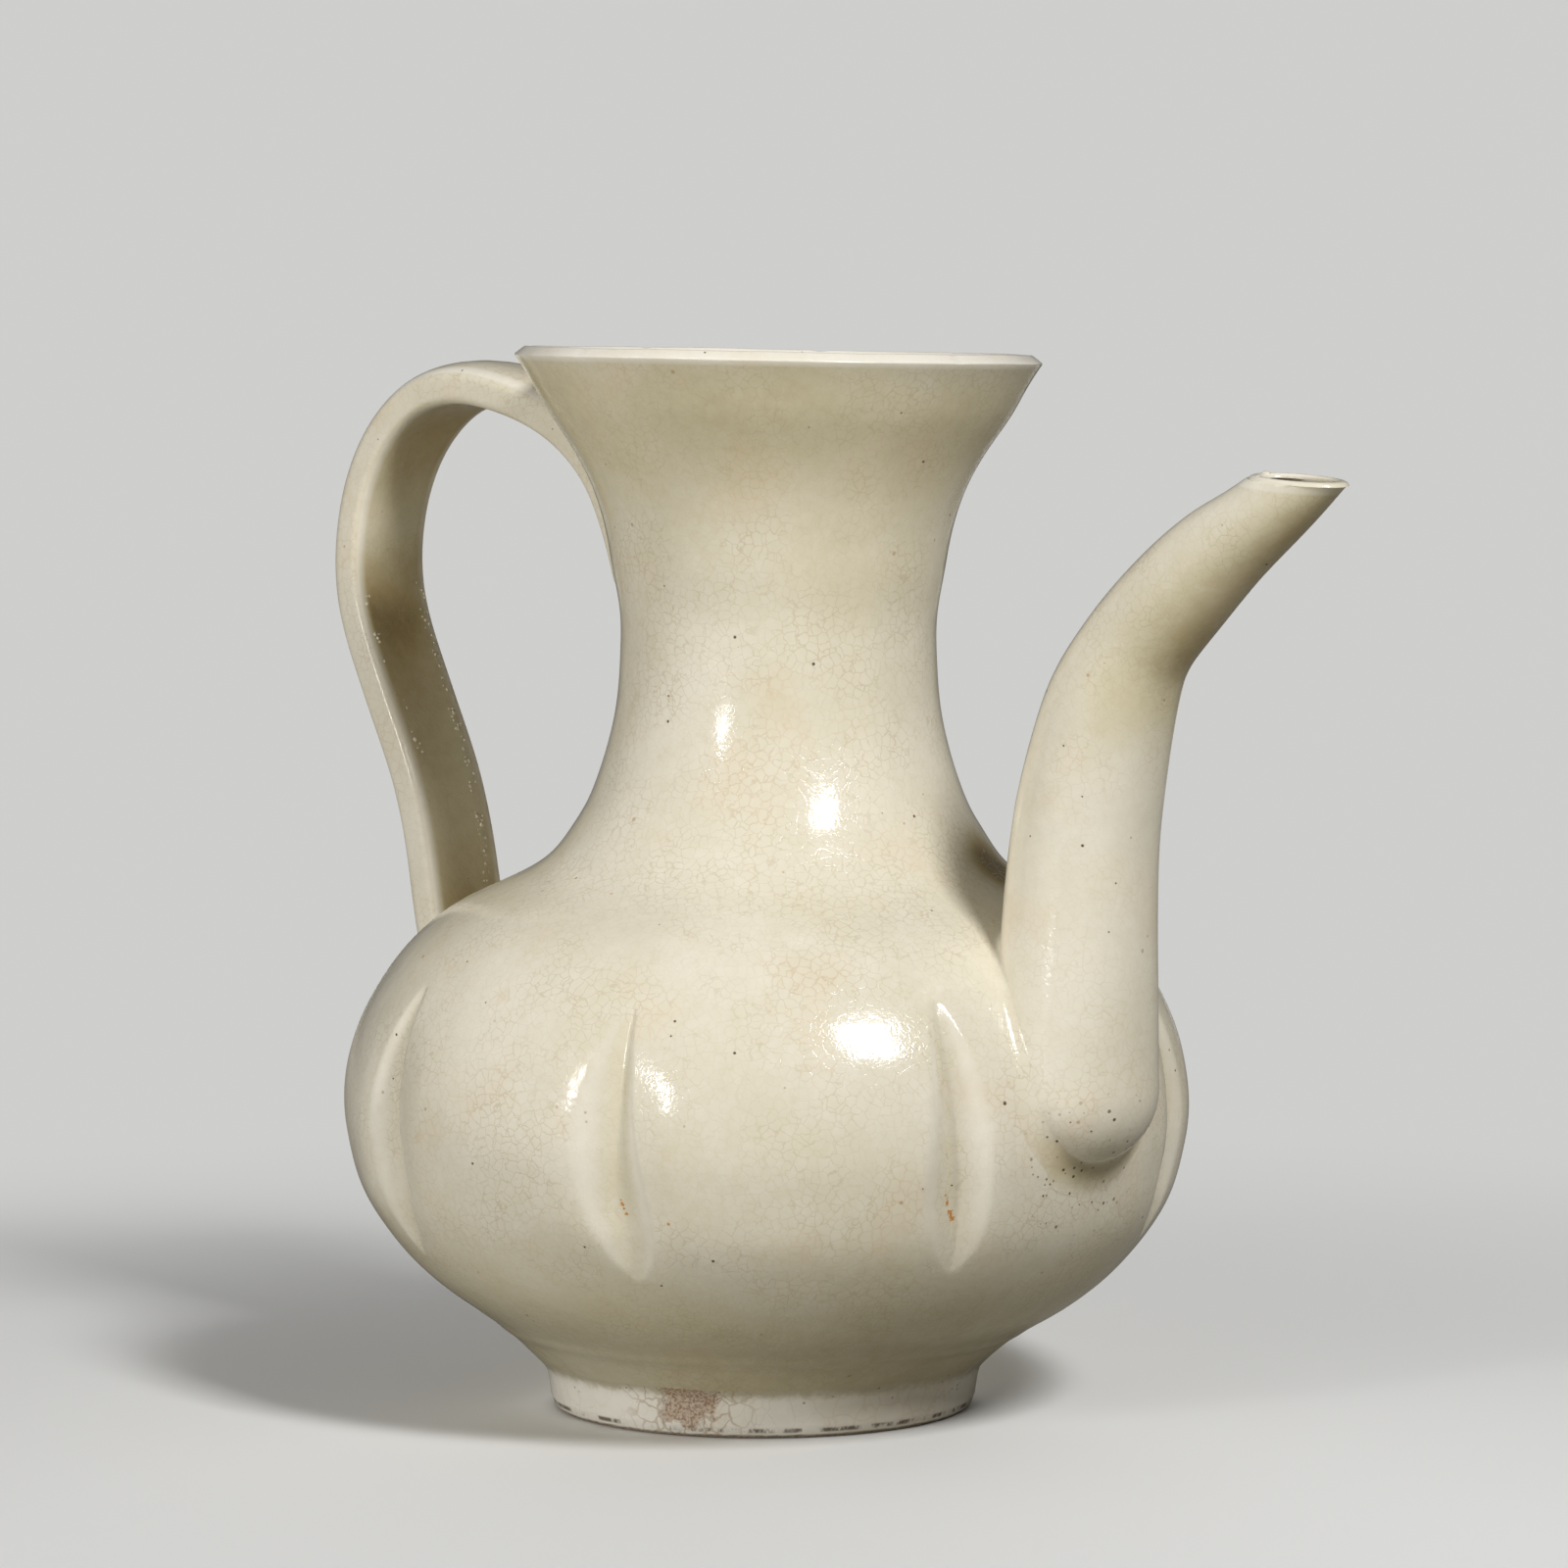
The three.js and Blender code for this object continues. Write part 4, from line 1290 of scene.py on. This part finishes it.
# %% Hang the two soft boxes and set the fill
def soft_box(name, right_of_viewer, elevation, width, height, distance, radiance, shows):
    """A rectangular lamp facing the pot, placed by its direction from the pot. It throws light
    in any case, and shows in the glaze or not."""
    turn, rise = math.radians(right_of_viewer), math.radians(elevation)
    level = math.cos(turn) * to_viewer + math.sin(turn) * to_right
    way = Vector(level * math.cos(rise) + np.array([0, 0, math.sin(rise)]))
    lamp = bpy.data.lights.new(name, "AREA")
    lamp.shape, lamp.size, lamp.size_y = "RECTANGLE", width, height
    lamp.energy = radiance * math.pi * width * height
    made = put_in_scene(name, lamp)
    made.location = Vector(pot_middle) + way * distance
    made.rotation_euler = way.to_track_quat("Z", "Y").to_euler()
    made.visible_glossy = shows


pot_middle = (-0.0115, 0, 0.08)
lamps = [  # degrees right of the viewer and up, width, height, distance, radiance, shows
    ("right_soft_box", 33.6, 42, 0.225, 0.33, 1.3, 51, True),
    ("left_soft_box", -39, 18, 0.1, 0.25, 1.3, 32, True),
    ("front_fill", -52, 4, 1.0, 0.34, 1.5, 8.2, False),
    ("back_fill", 180, 8, 1.2, 0.5, 1.6, 8.0, False)]
for lamp_sizes in lamps:
    soft_box(*lamp_sizes)
world_fill = 0.08
world = bpy.data.worlds.new("world")
world.use_nodes = True
bpy.context.scene.world = world
sky = world.node_tree
fill, plain = [value_of(sky, "ShaderNodeBackground", {"Color": tone, "Strength": strength})
               for tone, strength in (((1, 1, 1, 1), world_fill), (backdrop_tone, 1.0))]
mixed = value_of(sky, "ShaderNodeMixShader", [seen_by_camera(sky), fill, plain])
sky.links.new(mixed.socket, sky.nodes["World Output"].inputs["Surface"])
bpy.context.scene.view_settings.view_transform = "Standard"
print("two soft boxes, two fills and an even world")

# %% [markdown]
# ## The ivory glaze
# The glaze is one skin over every piece, so one recipe makes it, on Object coordinates in
# millimetres: a pattern runs on from the bowl to the neck without a seam. What the eye reads as
# ivory is mostly how deep the glaze lies. Where it drew off an edge it is nearly white, where it
# pooled it turns olive, and where it hung thick under the strap it went brown. The same ramp also
# paints shade: surfaces that face down, the low bowl, the flare of the lip, the flute creases, the
# strap's inner side, the spout's underside and bore and the hollow under its chin are made darker
# as if the glaze lay deeper there, and so is a patch of soot and painted shadow by the spout. So
# the recipe first works out a depth from clouds, from the numbers left on the meshes and from how
# far a surface faces down, and then looks the colour up on one ramp.
#
# Over that come the crackle, pinholes where gas burst, and rust from iron specks.

# %% The colour of the glaze by its depth
glaze_ramp = [
    (0.0, (0.95, 0.90, 0.79)), (0.3, (0.78, 0.722, 0.58)), (0.52, (0.665, 0.595, 0.405)),
    (0.74, (0.48, 0.378, 0.19)), (1.0, (0.22, 0.155, 0.07))]
# A dark patch in the crook between the shoulder and the spout: partly soot, partly the spout's
# shadow painted on the shoulder
soot_and_shadow_middle, soot_and_shadow_reach = (29.0, 15.0, 98.3), 12.0  # caught between the shoulder and the spout
cloud_share, mottle_share, underside_shade_share = 0.34, 0.2, 0.14
soot_and_shadow_share, hollow_share, thin_share = 0.6, 0.7, 0.3


def noise(spot, size, detail=2.0, roughness=0.5, output=0):
    """A noise whose patches are about so many millimetres wide."""
    return value_of(spot.tree, "ShaderNodeTexNoise", {
        "Vector": spot, "Scale": 1 / size, "Detail": detail, "Roughness": roughness}, output)


def distance(spot, place):
    return vector_calc("DISTANCE", spot, place, output="Value")


def point_number(tree, name):
    return value_of(tree, "ShaderNodeAttribute", (), "Fac", attribute_name=name)


def glaze_depth(spot, at_rest):
    """How deep the glaze lies: clouds and mottling round a resting value, more where it pooled,
    less on edges. Undersides and the shaded places the meshes carry get painted shade as extra
    depth, and a patch by the spout adds soot and painted shadow."""
    tree = spot.tree
    facing = parts_of(value_of(tree, "ShaderNodeNewGeometry", (), "Normal"))["Z"]
    return (at_rest - 0.5 * (cloud_share + mottle_share)
            + noise(spot, 26, 3.0) * cloud_share + noise(spot, 2.6, 4.0, 0.65) * mottle_share
            # surfaces that face down get painted shade
            + step(facing, -0.2, -0.9) * underside_shade_share
            # soot and the spout's painted shadow in the crook
            + step(distance(spot, soot_and_shadow_middle), soot_and_shadow_reach, soot_and_shadow_reach * 0.25) * soot_and_shadow_share
            # pooled glaze, smoke, and the painted shade that the meshes carry
            + point_number(tree, "hollow") * hollow_share
            - point_number(tree, "thin") * thin_share)


def glaze_colour(depth):
    """The colour on the ramp at a depth."""
    ramp = node(depth.tree, "ShaderNodeValToRGB", [depth])
    stops = ramp.color_ramp.elements
    stops[0].position, stops[1].position = glaze_ramp[0][0], glaze_ramp[-1][0]
    for place, _ in glaze_ramp[1:-1]:
        stops.new(place)
    for stop, (_, colour) in zip(stops, glaze_ramp):
        stop.color = (*colour, 1)
    return Value(depth.tree, ramp.outputs["Color"])


print(len(glaze_ramp), "depths of glaze")


# %% Crackle and pinholes
def crackle(spot, cell, bend=0.45):
    """The distance in millimetres from the nearest crack of a net with cells of a size. A noise
    bends the net, as glass seldom cracks straight."""
    stir = vector_calc("SUBTRACT", noise(spot, cell, output="Color"), (0.5, 0.5, 0.5))
    net = value_of(spot.tree, "ShaderNodeTexVoronoi", {
        "Vector": vector_calc("ADD", spot, scaled(stir, 2 * cell * bend)), "Scale": 1 / cell},
        "Distance", feature="DISTANCE_TO_EDGE")
    return net * cell


def cracks(away, line, soft_edge):
    """Lines of a width along the cracks, with a soft edge."""
    return step(away, line + soft_edge, line)


def specks(spot, cell, radius, kept):
    """Small dots, one for each kept cell, which a surface cuts where it passes through them."""
    dots = values_of(spot.tree, "ShaderNodeTexVoronoi", {"Vector": spot, "Scale": 1 / cell})
    chance = values_of(spot.tree, "ShaderNodeSeparateColor", [dots["Color"]])
    reach = (chance["Green"] * 0.8 + 0.6) * (radius / cell)
    return (calc("GREATER_THAN", chance["Red"], 1 - kept)
            * step(dots["Distance"] / reach, 1.15, 0.65))


print("crackle and specks ready")

# %% Where rust and larger pinholes sit
rust_spots = [  # place in millimetres, and radius
    ((12.7, -67.2, 45.7), 0.45), ((13.0, -67.1, 45.0), 0.25), ((13.3, -66.8, 44.1), 0.35),
    ((12.5, -67.3, 46.5), 0.25), ((53.7, -29.5, 43.8), 0.7), ((53.8, -29.1, 42.9), 0.65),
    ((54.6, -31.2, 45.8), 0.6), ((54.9, -32.0, 47.1), 0.4), ((21.7, -65.6, 43.0), 0.32),
    ((-51.0, -9.6, 91.5), 3.2)]
pinhole_spots = [
    ((20.9, -27.4, 176.8), 0.5), ((2.6, -25.8, 140.2), 0.35), ((-9.8, -29.3, 125.1), 0.35),
    ((24.9, -3.4, 108.6), 0.35), ((60.1, -22.5, 62.5), 0.45), ((62.6, -14.9, 58.6), 0.4),
    ((64.2, -8.2, 50.2), 0.4), ((64.2, -6.2, 49.6), 0.35), ((63.6, -2.4, 46.4), 0.4),
    ((64.0, 7.6, 48.0), 0.4), ((8.8, -72.5, 62.5), 0.35), ((26.8, -59.9, 36.5), 0.35)]
chin_middle = (65.0, -4.0, 51.0)  # gas burst in a crowd of pinholes round the spout's chin
chin_near, chin_far = 11.0, 18.0


def spots_of(spot, places, ragged):
    """One mask for a list of round spots, with edges made ragged by a noise."""
    fray = (noise(spot, 0.45, 3.0) - 0.5) * ragged
    mask = 0.0
    for place, reach in places:
        mask = calc("MAXIMUM", mask, step(distance(spot, place) / reach + fray, 1.0, 0.55))
    return mask


print(len(rust_spots), "rust marks and", len(pinhole_spots), "larger pinholes")

# %% The whole recipe
warm_colour, bleed_colour, crack_brown = (0.77, 0.63, 0.43), (0.74, 0.57, 0.36), (0.53, 0.43, 0.27)
freckle_colour, rust_colour = (0.42, 0.235, 0.095), (0.56, 0.225, 0.025)
pit_colour = (0.09, 0.045, 0.012)


def glaze_layers(finish, at_rest, cell, crack_colour=crack_brown, crack_strength=0.42):
    """The layers of the glaze: its colour, its height in millimetres and its roughness."""
    finish.use_nodes = True
    tree = finish.node_tree
    spot = scaled(value_of(tree, "ShaderNodeTexCoord", (), "Object"), 1 / MM)
    depth = glaze_depth(spot, at_rest)
    warmth = step(noise(spot, 17, 3.0), 0.52, 0.72)

    # Thin glaze hardly cracks, and elsewhere the cracks show in patches
    away = crackle(spot, cell)
    thick = 1.0 - step(point_number(tree, "thin"), 0.02, 0.25) * 0.8
    shown = step(noise(spot, 12, 3.0), 0.38, 0.64) * 0.7 + 0.28
    lines = cracks(away, 0.02, 0.09) * shown * thick
    bleed = cracks(away, 0.0, 0.42) * warmth * thick

    holes = specks(spot, 3.4, 0.22, 0.17)
    crowd = (step(distance(spot, chin_middle), chin_far, chin_near)
             * specks(scaled(spot, 1.31), 1.9, 0.36, 0.5))
    pits = calc("MAXIMUM", calc("MAXIMUM", holes, crowd), spots_of(spot, pinhole_spots, 0.5))
    freckles = specks(scaled(spot, 1.07), 4.6, 0.36, 0.16)
    rust = spots_of(spot, rust_spots, 2.4)
    colour = painted(
        glaze_colour(depth), (warmth * 0.2, warm_colour), (bleed * 0.2, bleed_colour),
        (lines * crack_strength, crack_colour), (freckles * 0.55, freckle_colour),
        (rust * 0.9, rust_colour), (pits * 0.95, pit_colour))

    # Faint rings of the wheel run level round the pot
    turning = noise(vector_calc("MULTIPLY", spot, (0.06, 0.06, 1.0)), 2.4)
    height = (noise(spot, 9) * 0.16 + turning * 0.02 + noise(spot, 0.7) * 0.035
              - lines * 0.012 - holes * 0.12)
    rough = (0.08 + noise(spot, 4.0, 4.0) * 0.1 + lines * 0.08 + pits * 0.4
             + step(depth, 0.6, 1.0) * 0.1)
    return spot, colour, height, rough


def put_on(colour, height, rough):
    """Links the finished layers to the shader."""
    tree = colour.tree
    shader = tree.nodes["Principled BSDF"]
    bump = value_of(tree, "ShaderNodeBump", {"Strength": 1.0, "Distance": MM, "Height": height})
    for name, value in (("Base Color", colour), ("Roughness", rough), ("Normal", bump)):
        tree.links.new(value.socket, shader.inputs[name])
    print("a finish of", len(tree.nodes), "nodes")


print("recipe ready")

# %% [markdown]
# ## The three finishes
# The body has the recipe as it is. On the clay of the joints the glaze pooled a little more. The
# foot was wiped before firing, so there the glaze is thin and white, with wider cracks, a bare
# brown patch where a finger touched it, and a dark broken line where it ends above the edge that
# stood on the kiln shelf. The standing edge itself is bare gritty clay.

# %% Glaze the body and the joints
for finish, at_rest in ((ivory, 0.3), (joint_finish, 0.31)):
    put_on(*glaze_layers(finish, at_rest, cell=1.8)[1:])

# %% Glaze the foot thinly, and bare its patch and its standing edge
foot_crack_colour, wide_crack_colour = (0.46, 0.33, 0.20), (0.44, 0.29, 0.16)
gathered_colour, dot_colour = (0.60, 0.53, 0.36), (0.22, 0.13, 0.07)
end_line_colour = (0.10, 0.06, 0.035)
bare_patch, bare_reach = (1.5, -38.4, 6.2), 6.4
end_line_height = 1.5
spot, colour, height, rough = glaze_layers(
    foot_finish, at_rest=-0.04, cell=4.2, crack_colour=foot_crack_colour, crack_strength=0.14)
level = parts_of(spot)["Z"]
ragged = noise(spot, 2.6, 5.0, 0.65)
gathered = step(level + ragged * 5.0, 9.2, 11.4)
dots = step(level, 4.0, 7.0) * specks(spot, 1.5, 0.24, 0.4)
away = distance(spot, bare_patch)
bare = step(away * (1 / bare_reach) + ragged * 1.5, 1.75, 1.45)
wide_cracks = step(away, 16.0, 8.0) * cracks(crackle(spot, 3.4), 0.06, 0.2)
gritty = step(noise(spot, 0.5), 0.42, 0.62)
bare_clay = blended(gritty, (0.60, 0.46, 0.33), (0.30, 0.165, 0.085))
edge_clay = blended(gritty, (0.55, 0.44, 0.31), (0.36, 0.26, 0.16))

around = vector_calc("MULTIPLY", spot, (1.0, 1.0, 0.25))
gaps = step(noise(around, 5.0, 4.0, 0.7), 0.44, 0.56)
line = step(calc("ABSOLUTE", level - end_line_height), 0.6, 0.15)
standing = step(level + ragged * 0.8, 1.15, 0.75)
colour = painted(
    colour, (gathered * 0.9, gathered_colour), (dots * 0.8, dot_colour),
    (wide_cracks * 0.5, wide_crack_colour), (bare * 0.84, bare_clay),
    (line * gaps * 0.85, end_line_colour), (standing, edge_clay))
matt = calc("MAXIMUM", standing, bare)
put_on(colour, height - gritty * matt * 0.06 - matt * 0.08, rough + matt * 0.5)

# %% [markdown]
# ## Beads of glaze
# Glaze that runs down the strap stops along its inner edges as a row of small beads, and a few
# lumps froze on the lip of the spout. They repeat along a line, so Geometry Nodes place them:
# every point of the line gets one bead, a sphere of a few dozen faces, turned and flattened
# towards the surface and sized at random from a fixed seed.

# %% Build the tree that sets beads on points
bead_values = {
    "Smallest": 0.26 * MM, "Largest": 0.55 * MM, "Flatness": 0.6, "Seed": 5, "Material": ivory}
bead_tree, size = geometry_tree("glaze_beads", bead_values)
ball = value_of(bead_tree, "GeometryNodeMeshIcoSphere", {"Radius": 1.0, "Subdivisions": 2})
ball = value_of(bead_tree, "GeometryNodeSetShadeSmooth", [ball])
chance = value_of(bead_tree, "FunctionNodeRandomValue", {
    2: size["Smallest"], 3: size["Largest"], "Seed": size["Seed"]}, 1, data_type="FLOAT")
chance = chance * named_value(bead_tree, "swell")
strewn = value_of(bead_tree, "GeometryNodeInstanceOnPoints", {
    "Points": size["Geometry"], "Instance": ball,
    "Rotation": value_of(bead_tree, "FunctionNodeAlignRotationToVector", {
        "Vector": named_value(bead_tree, "outwards", "FLOAT_VECTOR")}, axis="Z"),
    "Scale": value_of(bead_tree, "ShaderNodeCombineXYZ", [
        chance, chance * 0.85, chance * size["Flatness"]])})
finish_tree(strewn, size["Material"])

# %% Set the beads along the strap's inner edges and on the lip of the spout
dice = np.random.default_rng(7)
beads = []  # each a place, the way it faces and how much it swells
bead_runs = ((1, 88, 146, 84), (-1, 108, 148, 20))  # side, lowest, highest, how many
lip_beads = ((44, 2.0), (47, 1.3), (53, 1.1), (60, 1.6), (20, 0.9), (81, 0.8))
outer_limb = np.nonzero(middles[:, 0] < handle_widest[0] + 20)[0]
for side, low, high, count in bead_runs:
    rows_here = [r for r in outer_limb if low < middles[r, 2] < high]
    for row in dice.choice(rows_here, count):
        run_line = np.interp(middles[row, 2], [88, 146], [0.52, 0.76])
        aside = side * (run_line + dice.uniform(-0.1, 0.1))
        beads.append((middles[row] - across[row] * 0.9 + sideways[row] * aside,
                      -unit(across[row]), dice.uniform(0.35, 0.95)))
mouth_ring = spout_grid[lip_start + 4]
for index, swell in lip_beads:
    beads.append((mouth_ring[index] - mouth_normal * 0.25, mouth_normal, swell))
bead_places, bead_ways, bead_swells = zip(*beads)
glaze_beads = new_object("glaze_beads", bead_places)
mark(glaze_beads, "FLOAT_VECTOR", outwards=bead_ways)
mark(glaze_beads, swell=bead_swells)
tell(run_nodes(glaze_beads, bead_tree, bead_values))

# %% Hide the solid that each piece stands for, and hang every piece under one root
dressed = [
    (foot_ring, "foot_ring", "foot"), (foot_bed, "foot_luting", "luting"),
    (lower_body, "lower_body", "glaze"), (waist_bed, "waist_luting", "luting"),
    (upper_body, "upper_body", "glaze"), (neck_bed, "neck_luting", "luting"),
    (neck, "neck", "glaze"), (spout, "spout", "glaze"), (spout_bed, "spout_luting", "luting"),
    (handle, "handle", "glaze"), (upper_bed, "handle_upper_luting", "luting"),
    (lower_bed, "handle_lower_luting", "luting")]
for piece, solid, finish_slot in dressed:
    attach(piece, "root")
    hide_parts(solid)
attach(glaze_beads, "root")
print(len(dressed), "pieces dressed")

# %% Print both sizes, and finish
dressed_box = [list(corner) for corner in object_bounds()]
for label, box in (("solids", cad_box), ("dressed", dressed_box)):
    print(label, [[round(value / MM, 2) for value in corner] for corner in box])
